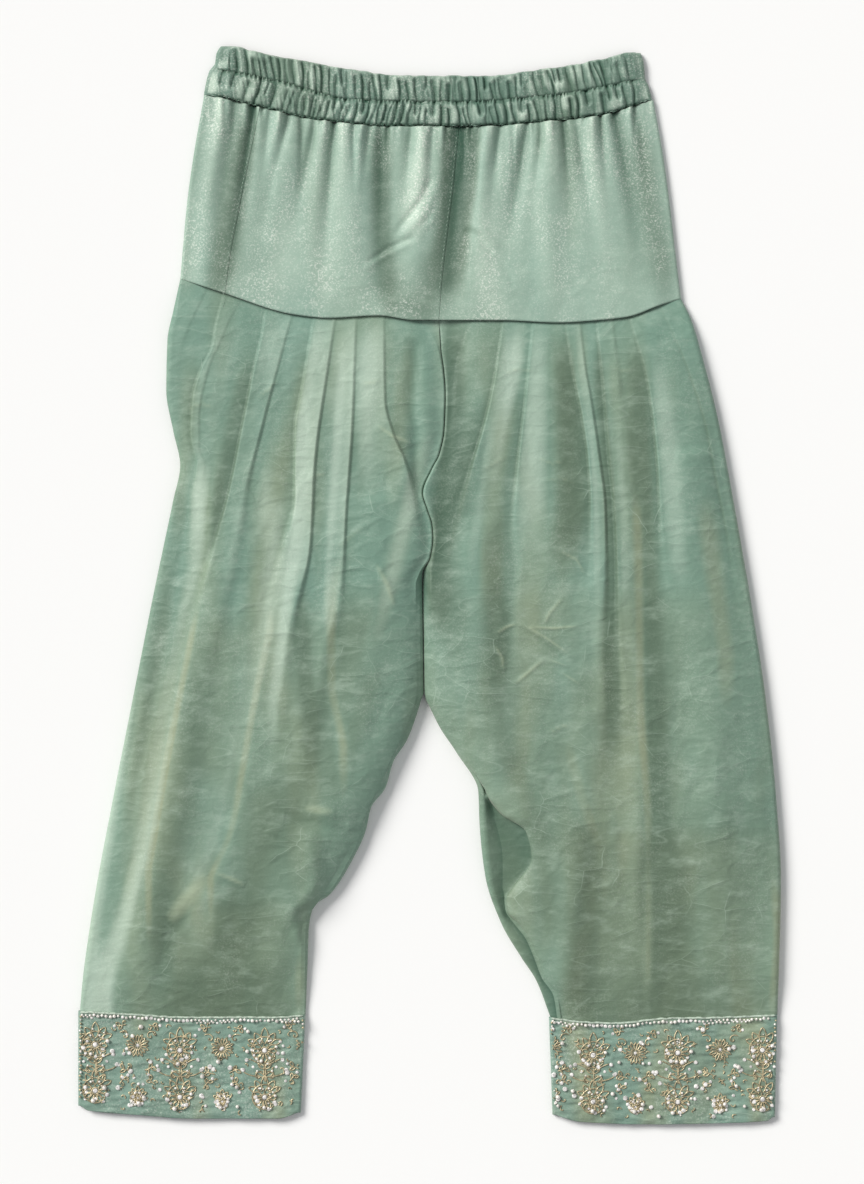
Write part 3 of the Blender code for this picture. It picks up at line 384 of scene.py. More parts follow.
LEFT_OUTLINE = (
    (264, -215), (236, -221), (211, -226), (168, -227), (133, -221), (103, -215), (73, -221), (-13, -239),
    (-99, -256), (-185, -273), (-271, -289), (-340, -299), (-372, -302),
)
RIGHT_OUTLINE = (
    (247, 217), (228, 226), (194, 236), (142, 249), (73, 262), (22, 271), (-13, 277), (-99, 290),
    (-185, 299), (-254, 303), (-340, 301), (-372, 300),
)
LEFT_INNER = (
    (30, -6.2), (-13, -5.9), (-38, -5.7), (-50, -5.5), (-80, -5.2), (-92, -5.0), (-99, -7), (-133, -19),
    (-152, -31), (-175, -38), (-191, -50), (-212, -55), (-236, -66), (-267, -86), (-277, -100),
    (-297, -104), (-324, -105), (-372, -107),
)
RIGHT_INNER = (
    (30, -5.7), (-13, -5.4), (-38, -5.2), (-50, -5.0), (-80, -4.7), (-92, -4.4), (-99, -3), (-105, 0),
    (-123, 9), (-144, 23), (-178, 42), (-205, 43), (-251, 48), (-292, 62), (-321, 79), (-341, 92),
    (-372, 104),
)
LEFT_CREST = (
    (229, -6), (205, 6), (185, 10), (164, 11.5), (134, 10.5), (112, 6), (100, 0), (79, -8), (65, -4),
    (52, 0), (40, 1.0), (25, -1.0), (10, -8.8), (0, -11.8), (-47, -11.4), (-92, -10.9), (-133, -24.9),
    (-175, -43.9), (-212, -60.9), (-267, -91.9), (-297, -109.7), (-372, -111.5),
)
RIGHT_CREST = (
    (226, 11), (205, 11.6), (185, 14.1), (164, 15.5), (134, 14.5), (112, 10.2), (100, 4.2), (79, -3.4),
    (65, 0.6), (52, 4.4), (40, 5.2), (25, 3.6), (10, 0.9), (-13, 0.5), (-47, 0.9), (-92, 1.5),
    (-123, 14.9), (-144, 28.9), (-178, 49), (-197, 63), (-212, 84), (-235, 89), (-261, 73), (-270, 68),
    (-281, 69), (-292, 79), (-305, 88), (-321, 95), (-339, 102), (-354, 112), (-372, 115),
)
# Where the right leg's inseam lies, once the leg has rolled enough for it to show on top
RIGHT_INSEAM = (
    (-178, 48), (-197, 54), (-212, 59), (-235, 63), (-261, 63), (-281, 65), (-292, 73), (-305, 83),
    (-321, 90), (-339, 97), (-354, 107), (-372, 110),
)

Leg = namedtuple("Leg", "name side outline inner crest folds swells bands creases cuff_top inseam")
# A crease across the cloth: its (x, y) points, height (below 0 for a furrow) and width
Crease = namedtuple("Crease", "line height width")
LEFT_CREASES = (
    Crease(((-70, -206), (-95, -206), (-125, -200)), -1.8, 7),
    Crease(((-80, -196), (-110, -192)), 1.0, 6),
    Crease(((-110, -268), (-112, -290), (-125, -304)), -1.5, 6),
    Crease(((-190, -248), (-225, -290)), 1.2, 8),
    Crease(((-15, 122), (-32, 128), (-46, 138)), 0.9, 2.4),
    Crease(((-150, 160), (-138, 168), (-128, 180)), 0.7, 2.2),
    Crease(((-60, 172), (-42, 176)), 0.8, 2.2),
    Crease(((-47, 20), (-36, 0), (-30, -20)), 0.9, 3.0),
    Crease(((-186, -246), (-170, -252), (-158, -258)), 0.9, 2.5),
    Crease(((-104, 92), (-88, 96)), 0.7, 2.2),
    Crease(((-52, 55), (-72, 38), (-80, 30)), 0.6, 2.4),
    Crease(((-210, 150), (-196, 156), (-184, 152)), 0.7, 2.4),
)
RIGHT_CREASES = (
    Crease(((57, -42), (66, -36), (75, -33)), 1.0, 1.6),
    Crease(((77, -36), (98, -50), (119, -65)), -1.1, 1.6),
    Crease(((79, -33), (101, -46), (122, -61)), 0.8, 1.6),
    Crease(((85, -36), (107, -37), (129, -35)), 1.0, 1.6),
    Crease(((72, -86), (86, -74), (99, -63)), 1.0, 1.6),
    Crease(((99, -63), (120, -70)), 0.6, 1.6),
    Crease(((56, -51), (62, -62), (64, -74)), 0.9, 1.6),
    Crease(((115, -10), (103, -24), (98, -34)), 0.9, 1.6),
    Crease(((110, 30), (126, 22), (134, 8)), 0.8, 1.6),
    Crease(((90, 110), (106, 104), (118, 108)), 0.7, 1.6),
    Crease(((40, 96), (58, 106), (70, 112)), 0.6, 1.6),
    Crease(((150, 190), (166, 184), (178, 186)), 0.6, 1.6),
    Crease(((92, 88), (112, 92), (128, 86)), 0.6, 1.6),
    Crease(((60, 180), (76, 186), (92, 184)), 0.7, 1.6),
    Crease(((112, -74), (130, -86)), 0.7, 1.6),
    Crease(((100, -128), (112, -122), (124, -118)), 0.7, 1.6),
)
LEFT_LEG = Leg("leg_left", -1, LEFT_OUTLINE, LEFT_INNER, LEFT_CREST, LEFT_FOLDS, LEFT_SWELLS, LEFT_BANDS,
               LEFT_CREASES, LEFT_CUFF_TOP, None)
RIGHT_LEG = Leg("leg_right", 1, RIGHT_OUTLINE, RIGHT_INNER, RIGHT_CREST, RIGHT_FOLDS, RIGHT_SWELLS,
                RIGHT_BANDS, RIGHT_CREASES, RIGHT_CUFF_TOP, RIGHT_INSEAM)


def along(rows, place):
    """Values on a smooth curve through (place, value) rows, held level past both ends."""
    where, value = np.array(sorted(rows), float).T
    step = np.diff(where)
    slope = np.diff(value) / step
    tangent = np.zeros(len(where))
    before, after = slope[:-1], slope[1:]
    same_way = before * after > 0
    tangent[1:-1][same_way] = (2 * before * after)[same_way] / (before + after)[same_way]
    tangent[0] = slope[0]
    tangent[-1] = slope[-1]
    place = np.clip(place, where[0], where[-1])
    k = np.clip(np.searchsorted(where, place, side="right") - 1, 0, len(step) - 1)
    t = (place - where[k]) / step[k]
    bend = (t**3 - 2 * t**2 + t) * tangent[k] + (t**3 - t**2) * tangent[k + 1]
    return value[k] + (3 * t**2 - 2 * t**3) * (value[k + 1] - value[k]) + step[k] * bend


def ease(t):
    """A soft step from 0 to 1 as t goes from 0 to 1."""
    t = np.clip(t, 0, 1)
    return t * t * (3 - 2 * t)


def shown(y, top, end, fade=28.0):
    """How much of a fold shows at y, fading in below `top` and out above `end`."""
    return ease((top - y) / 10) * ease((y - end) / fade + 0.5)


def swell_height(swells, x, y):
    total = np.zeros(np.broadcast(x, y).shape)
    for swell in swells:
        off = (x - along(swell.line, y)) / swell.width
        total = total + swell.height * np.exp(-off * off) * shown(y, swell.top, swell.end)
    return total


def hashed(column, row, seed):
    """A steady scatter of values from 0 to 1 over whole-number places."""
    n = column.astype(np.int64) * 374761393 + row.astype(np.int64) * 668265263 + seed * 144665
    n = n & 0xFFFFFFFF
    n = ((n ^ (n >> 13)) * 1274126177) & 0xFFFFFFFF
    return ((n ^ (n >> 16)) & 0xFFFFFF) / 0xFFFFFF


def soft_noise(x, y, seed):
    """Smooth hills and hollows from -1 to 1, one to each unit of x and y."""
    x, y = np.broadcast_arrays(np.asarray(x, float), np.asarray(y, float))
    column, row = np.floor(x), np.floor(y)
    across, down = ease(x - column), ease(y - row)
    near = hashed(column, row, seed) * (1 - across) + hashed(column + 1, row, seed) * across
    far = hashed(column, row + 1, seed) * (1 - across) + hashed(column + 1, row + 1, seed) * across
    return 2 * (near * (1 - down) + far * down) - 1


def crumple(x, y, size, seed):
    """Creases of crushed cloth: sharp valleys where soft noise crosses zero, about `size` apart."""
    total = 0
    for octave, (scale, turn) in enumerate(((1.0, 0.3), (1.9, 1.4), (3.4, 2.2))):
        u = (x * cos(turn) - y * sin(turn)) * scale / size
        v = (x * sin(turn) + y * cos(turn)) * scale / size
        bent = u + 0.6 * soft_noise(0.7 * v, 0.7 * u, seed + 5)
        total = total + np.abs(soft_noise(bent, v, seed + octave)) / scale
    return total


def line_distance(line, x, y):
    """Distance of x, y from a chain of straight lines, and how far along it the nearest place is, 0 to 1."""
    line = np.array(line, float)
    best = np.full(np.broadcast(x, y).shape, 1e9)
    place = np.zeros(best.shape)
    steps = len(line) - 1
    for k in range(steps):
        run = line[k + 1] - line[k]
        t = np.clip(((x - line[k, 0]) * run[0] + (y - line[k, 1]) * run[1]) / (run @ run), 0, 1)
        far = np.hypot(x - line[k, 0] - t * run[0], y - line[k, 1] - t * run[1])
        place = np.where(far < best, (k + t) / steps, place)
        best = np.minimum(best, far)
    return best, place


def crease_height(creases, x, y):
    total = np.zeros(np.broadcast(x, y).shape)
    for crease in creases:
        far, place = line_distance(crease.line, x, y)
        tapered = np.sqrt(np.clip(4 * place * (1 - place), 0, 1))
        total = total + crease.height * np.exp(-((far / crease.width) ** 2)) * tapered
    return total


def band_tones(bands, x, y):
    """How much paler the painted sheen (above 0) or darker the painted shade (below 0) of the bands makes
    the cloth at x, y, and how golden.
    """
    tone = np.zeros(np.broadcast(x, y).shape)
    warm = np.zeros(tone.shape)
    for band in bands:
        off = (x - along(band.line, y)) / band.wide
        share = np.exp(-np.abs(off) ** 2.4) * shown(y, band.top, band.end, 70.0)
        share = share * ease((band.top - y) / 50)
        tone = tone + band.tone * share
        warm = np.maximum(warm, band.warm * share)
    return np.clip(tone, -1, 1), warm


def riser_width(fold, y):
    """How wide the step of a fold's edge is at y."""
    return CRISP_RISER + (SOFT_RISER - CRISP_RISER) * ease((fold.crisp - y) / SOFTENS_OVER)


def fold_forms(folds, side, x, y):
    """What the pleats add at x, y: how far the cloth is raised and sunk, its painted rim highlights, and
    where its edges face the light for painted shade there.
    """
    shape = np.broadcast(x, y).shape
    raised, sunk, rim, lit = (np.zeros(shape) for _ in range(4))
    for fold in folds:
        off = fold.high * side * (x - along(fold.line, y))
        riser = riser_width(fold, y)
        crisp = CRISP_RISER / riser
        high = ease(off / riser + 0.5)
        pressed = PRESSED + (1 - PRESSED) * ease((fold.top - PRESSED_FROM - y) / PRESSED_OVER)
        seen = STEP * (shown(y, fold.top, fold.end, FOLD_FADE) * pressed)
        raised = raised + high * fold.crest * np.exp(-np.maximum(off, 0) / (1.3 * fold.reach)) * seen
        sunk = sunk + (1 - high) * fold.trough * np.exp(np.minimum(off, 0) / fold.hollow) * seen
        # A painted highlight along each fold's edge, and painted shade where an edge faces the light
        edge = np.exp(-(((off - 0.6) / 1.3) ** 2)) * crisp + 0.3 * np.exp(-(((off - 4) / 5) ** 2))
        rim = np.maximum(rim, edge * seen * min(1, fold.crest / 3) * RIM_FACE[int(fold.high * side)])
        if fold.high * side > 0:
            lit = np.maximum(lit, np.exp(-((1.8 * off / riser) ** 2)) * crisp * seen)
    return raised, sunk, rim, lit


def leg_forms(leg, x, y):
    """Height of a leg's upper cloth at x, y, with the painted shade of its hollows, its painted rim
    highlight and its painted sheen.
    """
    side = leg.side
    from_outer = side * (along(leg.outline, y) - x) - LEG_ROLL
    from_crest = side * (x - along(leg.crest, y))
    below_yoke = np.maximum(along(YOKE_FOOT, x) - y, 0)
    above_cuff = np.maximum(y - along(leg.cuff_top, x), 0)
    dome = ease(0.5 + 0.5 * np.clip(from_outer / DOME_RUN, 0, 1)) * 2 - 1
    settled = (1 - 0.9 * np.exp(-below_yoke / YOKE_SETTLE)) * (1 - 0.9 * np.exp(-above_cuff / CUFF_SETTLE))
    tube = ease((CROTCH_Y - y) / 40)
    lowered = INNER_LOW * tube * np.exp(-np.maximum(from_crest, 0) / INNER_RUN)
    if side < 0:
        lowered = lowered + LOBE_LOW * (1 - tube) * np.exp(-((from_crest / LOBE_RUN) ** 2))
    near_seam = np.minimum(2 * LEG_ROLL, SEAM_REST + SEAM_RISE * below_yoke)
    near_seam = np.minimum(near_seam, SEAM_REST + SEAM_RISE * above_cuff)
    height = (near_seam + np.maximum(along(LEG_LOFT, y) - near_seam, 0) * dome * settled) * (1 - lowered)
    calm = (1 - 0.75 * np.exp(-below_yoke / YOKE_CALM)) * (1 - 0.8 * np.exp(-above_cuff / CUFF_CALM))
    flat_edge = ease(from_outer / EDGE_CALM + 0.1)
    raised, sunk, rim, lit = fold_forms(leg.folds, side, x, y)
    swells = swell_height(leg.swells, x, y)
    creases = crease_height(leg.creases, x, y)
    pleats = (raised - SINK * sunk + swells) * calm * flat_edge
    small = 0.8 * crumple(x, 0.8 * y, 34, 3) + 0.8 * soft_noise(x / 26, y / 110, 11) - 0.3
    small = small + CREASE_GAIN * creases
    height = np.maximum(height + pleats, LOWEST_TOP) + small * calm * flat_edge
    # Painted shade in troughs and soft creases, painted highlights on crease ridges, painted sheen and shade
    # on pleats
    hollow = sunk - SWELL_SHADE * np.minimum(swells, 0) - np.minimum(creases, 0)
    rim = np.maximum(rim, 1.1 * np.clip(creases - 0.35, 0, 1)) * (creases > -0.3)
    sheen = FOLD_SHEEN * raised - FOLD_SHADE * sunk - LIT_FACE * lit
    return height, hollow * flat_edge, rim * flat_edge, sheen * flat_edge


def smooth_line(points, place):
    """Points at fractional index `place` along a row of (out, z) points, on a smooth curve through them."""
    points = np.array(points, float)
    place = np.clip(place, 0, len(points) - 1)
    k = np.clip(np.floor(place).astype(int), 0, len(points) - 2)
    t = (place - k)[:, None]
    before, start = points[np.maximum(k - 1, 0)], points[k]
    end, after = points[k + 1], points[np.minimum(k + 2, len(points) - 1)]
    turn_in, turn_out = (end - before) / 2, (after - start) / 2
    return (
        (2 * t**3 - 3 * t**2 + 1) * start + (t**3 - 2 * t**2 + t) * turn_in
        + (3 * t**2 - 2 * t**3) * end + (t**3 - t**2) * turn_out
    )


def slit_slope(reach, rise):
    """From the crotch seam up to a leg's crest: a straight slope, then an arc that ends level."""
    radius = min(0.95 * reach, SLIT_RADIUS)
    far = np.hypot(rise - radius, reach)
    turn = np.arccos(-radius / far) - np.arctan2(reach, rise - radius)
    angle = np.linspace(turn, 0, FRONT_COLUMNS - SLOPE_COLUMNS)
    arc = np.stack([reach - radius * np.sin(angle), rise - radius * (1 - np.cos(angle))], 1)
    line = arc[0] * np.linspace(0, 1, SLOPE_COLUMNS, endpoint=False)[:, None]
    return np.concatenate([line, arc])


def inner_side(leg, row_y, crest, inner_out):
    """Where a leg is a tube: its front from the inseam up to the crest, and its back from the inseam under.

    `crest` and all points are (out, z). Low on the right leg the inseam has rolled up on top, so the
    share of that roll and the inseam's place are given too.
    """
    crest_out, crest_z = crest
    roll = min(INNER_ROLL, 0.45 * crest_z)
    on_top = float(ease((ROLLED_FROM - row_y) / ROLLED_OVER)) if leg.inseam else 0.0
    inseam_out = float(leg.side * along(leg.inseam, row_y)) if leg.inseam else 0.0
    turned = np.interp(on_top, (0, 1), (60, 90))
    around = [(-90 + (90 + turned) * k / 4) * pi / 180 for k in range(5)]
    rolled = [(inner_out + roll - roll * np.cos(a), roll + roll * np.sin(a)) for a in around]

    def risen(share, folded):
        """A point `share` of the way from roll to crest, or `folded` where the inseam lies on top."""
        straight = np.array(rolled[-1]) * (1 - share) + np.array(crest) * share
        return tuple(straight * (1 - on_top) + np.array(folded) * on_top)

    foot_out = max(crest_out - 2.2, inseam_out + 0.3)
    flank_out = max(crest_out - 1.1, foot_out + 0.3)
    seat = risen(0.25, (inseam_out, INSEAM_REST))
    foot = risen(0.5, (foot_out, INSEAM_REST + 0.6))
    flank = risen(0.75, (flank_out, INSEAM_REST + 0.78 * (crest_z - INSEAM_REST)))
    profile = [(inner_out + roll + 5, 0.0)] + rolled + [seat, foot, flank, crest]
    slit = np.interp(on_top, (0, 1), (0.75, 6.0))
    front = smooth_line(profile, np.linspace(slit, len(profile) - 1, FRONT_COLUMNS))
    back = smooth_line(profile, np.linspace(0, slit, BACK_COLUMNS))
    return front, back, on_top, inseam_out


def slit_side(row_y, crest, seam_out):
    """Above the crotch: a leg's front from the crotch seam up to its crest, and its flat back edge."""
    crest_out, crest_z = crest
    seam_z = min(float(along(SEAM_HEIGHT, row_y)), 0.8 * crest_z)
    front = slit_slope(crest_out - seam_out, crest_z - seam_z) + np.array([seam_out, seam_z])
    back_edge = seam_out + 6 * float(ease((CROTCH_Y + 30 - row_y) / 20))
    back = np.array([(back_edge + 0.4 * k, 0.0) for k in range(BACK_COLUMNS)])
    return front, back


def upper_columns(folds, spaces, placed, start, end):
    """Where the upper cloth's columns lie: a pleat's edge at each fold line, even ones between them."""
    places = []
    reached = start
    for fold, count in zip(folds, spaces):
        line_out = placed(fold.line)
        nearest = min(1.0, (line_out - reached) / 4.0)
        edge = [line_out + fold.high * off * nearest for off in PLEAT_EDGE[::fold.high]]
        places += [reached + (edge[0] - reached) * (k + 1) / (count + 1) for k in range(count)] + edge
        reached = edge[-1]
    places += [reached + (end - reached) * (k + 1) / (spaces[-1] + 1) for k in range(spaces[-1])]
    return np.array(places)


def leg_section(leg, row_y, spaces):
    """One row round a leg: front edge, top, outer roll, underside, back edge.

    Each point is x, y, z, the painted shade of its hollow, its painted rim highlight, its tone of painted
    sheen and shade, and how golden it is.
    """
    side = leg.side
    near_yoke = ease((row_y - BENT_ABOVE) / (HEAD_Y - BENT_ABOVE))
    near_cuff = ease((BENT_BELOW - row_y) / (BENT_BELOW - HEM_Y))

    def row_at(out):
        """The row bends to meet the yoke at its top and the cuff at its foot."""
        yoke_shift = along(YOKE_FOOT, side * out) - HEAD_Y
        cuff_shift = along(leg.cuff_top, side * out) - HEM_Y
        return row_y + near_yoke * yoke_shift + near_cuff * cuff_shift

    def placed(line):
        y = row_y
        for _ in range(3):
            out = float(side * along(line, y))
            y = float(row_at(out))
        return out

    def height(out, y):
        return float(leg_forms(leg, side * out, y)[0])

    crest_out = placed(leg.crest)
    crest_z = height(crest_out, row_at(crest_out))
    outer_out = placed(leg.outline)
    outer_roll = min(LEG_ROLL, height(outer_out - LEG_ROLL, row_at(outer_out)) / 2)

    # The inner side passes from the slit's form to the tube's at the crotch.
    tube = float(ease((CROTCH_Y + 12 - row_y) / 16))
    seam_out = float(side * along(CROTCH_SEAM, float(row_at(0.0)))) + SEAM_GAP / 2
    slit_front, slit_back = slit_side(row_y, (crest_out, crest_z), seam_out)
    tube_front, tube_back, on_top, inseam_out = inner_side(
        leg, row_y, (crest_out, crest_z), placed(leg.inner),
    )
    front = slit_front * (1 - tube) + tube_front * tube
    back = (slit_back * (1 - tube) + tube_back * tube)[::-1]

    places = upper_columns(leg.folds, spaces, placed, crest_out, outer_out - outer_roll)
    top_z, hollow, rim, sheen = leg_forms(leg, side * places, row_at(places))
    turn = np.linspace(90, -90, ROLL_COLUMNS) * pi / 180
    outer = outer_out - outer_roll + outer_roll * np.cos(turn)
    spread = (np.arange(UNDER_COLUMNS) + 1) / (UNDER_COLUMNS + 1)
    under = outer[-1] + (back[0, 0] - outer[-1]) * spread
    out = np.concatenate([front[:, 0], places, outer, under, back[:, 0]])
    outer_z = outer_roll + outer_roll * np.sin(turn)
    z = np.concatenate([front[:, 1], top_z, outer_z, 0 * under, back[:, 1]])

    # Painted shade in the slit, in the small opening below it and under the right leg's rolled side, and a
    # painted highlight on the slit's left edge
    pocket = np.clip((crest_z - 2 - front[:, 1]) / 6, 0, 1) * max(SLIT_SHADE * (1 - tube), on_top)
    gap = float(ease((CROTCH_Y - row_y) / 10) * ease((row_y - GAP_FOOT) / 16))
    pocket = np.maximum(pocket, GAP_SHADE * gap * np.clip((crest_z - 2.5 - front[:, 1]) / 5, 0, 1))
    rolled_over = on_top * np.exp(-np.maximum(inseam_out - back[:, 0], 0) / 9) * (back[:, 1] > 3)
    lobe = LOBE_RIM * (side < 0) * (1 - tube) * np.exp(-(((front[:, 1] - crest_z + 2.4) / 1.5) ** 2))
    plain = np.zeros(ROLL_COLUMNS + UNDER_COLUMNS)
    plain_back = np.zeros(BACK_COLUMNS)
    hollow = np.concatenate([POCKET_SHADE * pocket, hollow, plain, POCKET_SHADE * rolled_over])
    rim = np.concatenate([lobe, rim, plain, plain_back])
    x, y = side * out, row_at(out)
    tone, warm = band_tones(leg.bands, x, y)
    # The tone of painted sheen and shade, from the bands and the folds
    tone = BAND_GAIN * tone + np.concatenate([0 * lobe, sheen, plain, plain_back])
    return np.stack([x, y, z, hollow, rim, np.clip(tone, -1, 1), warm], 1)


def leg_spaces(leg):
    """How many columns lie between neighbouring folds of a leg, from the middle outwards."""
    rows = np.linspace(200, -350, 12)
    lines = [leg.crest] + [fold.line for fold in leg.folds] + [leg.outline]
    widths = [np.mean(leg.side * (along(b, rows) - along(a, rows))) for a, b in zip(lines, lines[1:])]
    return [max(2, round(width / TOP_SPACING) - 3) for width in widths]


def lay_shell(name, points, material, node, facts, mirrored=False, closed=False, edge=0.0):
    """A sheet of cloth through a grid of (x, y, z) points, its open rims turned down by `edge`.

    `facts` are values at each point that its material reads, and the shell replaces the solid `node`.
    """
    if edge:
        down = points[[0, -1]].copy()
        down[:, :, 2] = np.maximum(down[:, :, 2] - edge, 0)
        points = np.concatenate([down[:1], points, down[1:]])
        facts = {key: np.concatenate([value[:1], value, value[-1:]]) for key, value in facts.items()}
    rows, columns = points.shape[:2]
    number = np.arange(rows * columns).reshape(rows, columns)
    if closed:
        number = np.concatenate([number, number[:, :1]], axis=1)
    corners = [number[:-1, :-1], number[1:, :-1], number[1:, 1:], number[:-1, 1:]]
    if mirrored:
        corners.reverse()
    faces = np.stack([corner.ravel() for corner in corners], axis=1)
    mesh = bpy.data.meshes.new(name)
    mesh.vertices.add(rows * columns)
    mesh.vertices.foreach_set("co", (points.reshape(-1, 3) * MM).ravel())
    mesh.loops.add(faces.size)
    mesh.loops.foreach_set("vertex_index", faces.ravel())
    mesh.polygons.add(len(faces))
    mesh.polygons.foreach_set("loop_start", np.arange(len(faces)) * 4)
    mesh.update(calc_edges=True)
    mesh.validate()
    for key, value in facts.items():
        values = mesh.attributes.new(key, "FLOAT", "POINT").data
        values.foreach_set("value", np.clip(value, -1, 1).astype(np.float32).ravel())
    mesh.shade_smooth()
    mesh.materials.append(material)
    piece = bpy.data.objects.new(name, mesh)
    bpy.context.scene.collection.objects.link(piece)
    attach(piece, "root")
    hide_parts(node)
    return piece


def leg_rows():
    """Rows of a leg from the yoke to the cuff, closer together across its small creases."""
    place = np.linspace(0, 1, LEG_ROW_COUNT)
    spread = np.linspace(HEAD_Y, HEM_Y, 2000)
    dense = 1 + ease((CREASED[0] - spread) / 30) * ease((spread - CREASED[1]) / 30)
    reached = np.concatenate([[0], np.cumsum(dense[1:])])
    return np.interp(place * reached[-1], reached, spread)


def make_leg(leg, material):
    spaces = leg_spaces(leg)
    rows = np.array([leg_section(leg, row_y, spaces) for row_y in leg_rows()])
    # The painted hollow shade, painted rim highlights and painted sheen and shade that the leg's material
    # reads
    facts = {"hollow": rows[:, :, 3] / FULL_SHADE}
    facts.update({key: rows[:, :, 4 + k] for k, key in enumerate(("rim", "tone", "warm"))})
    piece = lay_shell(leg.name + "_cloth", rows[:, :, :3], material, leg.name, facts, mirrored=leg.side < 0)
    return piece


def band_foot(x):
    return along(LOWER_STITCHES, x) - 1.0


# Soft folds that fall from the waistband: x at the band and at the yoke's foot, depth (below 0 for
# a ridge), width at the band and at the foot, and how far down they reach before they fade.
YokeFold = namedtuple("YokeFold", "head foot depth slim wide reach")
YOKE_FOLDS = (
    YokeFold(-166, -190, 1.6, 6, 13, 110), YokeFold(-151, -176, 2.2, 4, 9, 150),
    YokeFold(-137, -160, 1.6, 4, 9, 45), YokeFold(-122, -156, 2.4, 4, 12, 70),
    YokeFold(-108, -120, 1.7, 3, 9, 35), YokeFold(-98, -132, 2.1, 4, 12, 60),
    YokeFold(-82, -98, 2.3, 4, 9, 85), YokeFold(-66, -62, 1.8, 3, 8, 40),
    YokeFold(-53, -62, 1.6, 3, 8, 30), YokeFold(-41, -42, 2.1, 7, 15, 200),
    YokeFold(-16, -30, 1.6, 4, 12, 45), YokeFold(2, -6, 1.8, 4, 12, 60),
    YokeFold(28, 17, 3.0, 11, 15, 170), YokeFold(42, 30, 1.8, 5, 12, 60),
    YokeFold(60, 44, 1.8, 4, 10, 45), YokeFold(84, 58, 2.2, 4, 13, 75), YokeFold(97, 80, 2.0, 3, 10, 40),
    YokeFold(115, 128, 2.3, 4, 11, 65), YokeFold(126, 150, 1.6, 4, 12, 90),
    YokeFold(147, 164, 2.0, 3, 11, 45), YokeFold(160, 192, 2.2, 5, 16, 120),
    YokeFold(178, 204, 1.6, 4, 12, 60), YokeFold(-128, -138, -1.6, 8, 14, 90),
    YokeFold(-92, -104, -1.0, 8, 14, 120), YokeFold(-66, -64, -1.8, 10, 18, 160),
    YokeFold(-2, -12, -2.0, 10, 18, 130), YokeFold(46, 40, -1.8, 8, 16, 200),
    YokeFold(104, 104, -1.7, 9, 20, 150), YokeFold(136, 160, -1.1, 9, 18, 140),
    YokeFold(-178, -200, -1.0, 8, 12, 120),
)

YOKE_CREASES = (
    Crease(((2, 352), (-8, 330), (-30, 302)), -1.6, 3.2),
    Crease(((9, 350), (-2, 322), (-24, 299)), 1.0, 3.5),
    Crease(((-12, 300), (-34, 291), (-54, 278)), -1.5, 2.6),
    Crease(((-16, 294), (-38, 284), (-56, 272)), 0.9, 3.0),
    Crease(((30, 306), (42, 300), (55, 285)), -1.5, 3.0),
    Crease(((31, 312), (46, 305), (60, 291)), 0.9, 3.0),
    Crease(((5, 322), (2, 312), (-6, 306)), 0.7, 2.5),
    Crease(((62, 276), (69, 266), (72, 255)), -0.6, 3.0),
)

# Bands of painted sheen (above 0) and painted shade (below 0) on the yoke's front
YOKE_BANDS = (
    Band(((404, -155), (330, -170), (254, -182)), 13, -0.8, 0.0, 425, 235),
    Band(((400, -42), (330, -40), (250, -36)), 9, -0.47, 0.0, 425, 225),
    Band(((290, -18), (235, -12)), 24, -0.72, 0.0, 325, 215),
    Band(((378, -8), (320, -16), (280, -26)), 17, 0.7, 0.1, 395, 260),
    Band(((408, 27), (360, 26), (320, 24), (280, 20)), 17, -0.95, 0.0, 425, 262),
    Band(((330, 40), (280, 48), (240, 54)), 14, 0.35, 0.1, 350, 225),
    Band(((400, -78), (330, -86), (250, -92)), 12, 0.45, 0.1, 425, 230),
    Band(((400, 60), (340, 62), (300, 68)), 12, 0.25, 0.1, 420, 280),
    Band(((408, 92), (370, 98), (320, 104)), 8, -0.5, 0.0, 425, 300),
    Band(((400, 130), (340, 140), (270, 150)), 14, 0.2, 0.1, 425, 240),
    Band(((405, 118), (370, 126)), 6, -0.48, 0.0, 425, 340),
    Band(((400, 180), (330, 192), (260, 200)), 12, -0.45, 0.0, 425, 240),
    Band(((408, -112), (370, -122), (320, -134)), 7, -0.30, 0.0, 425, 300),
    Band(((330, -120), (280, -130)), 18, 0.3, 0.2, 350, 240),
)


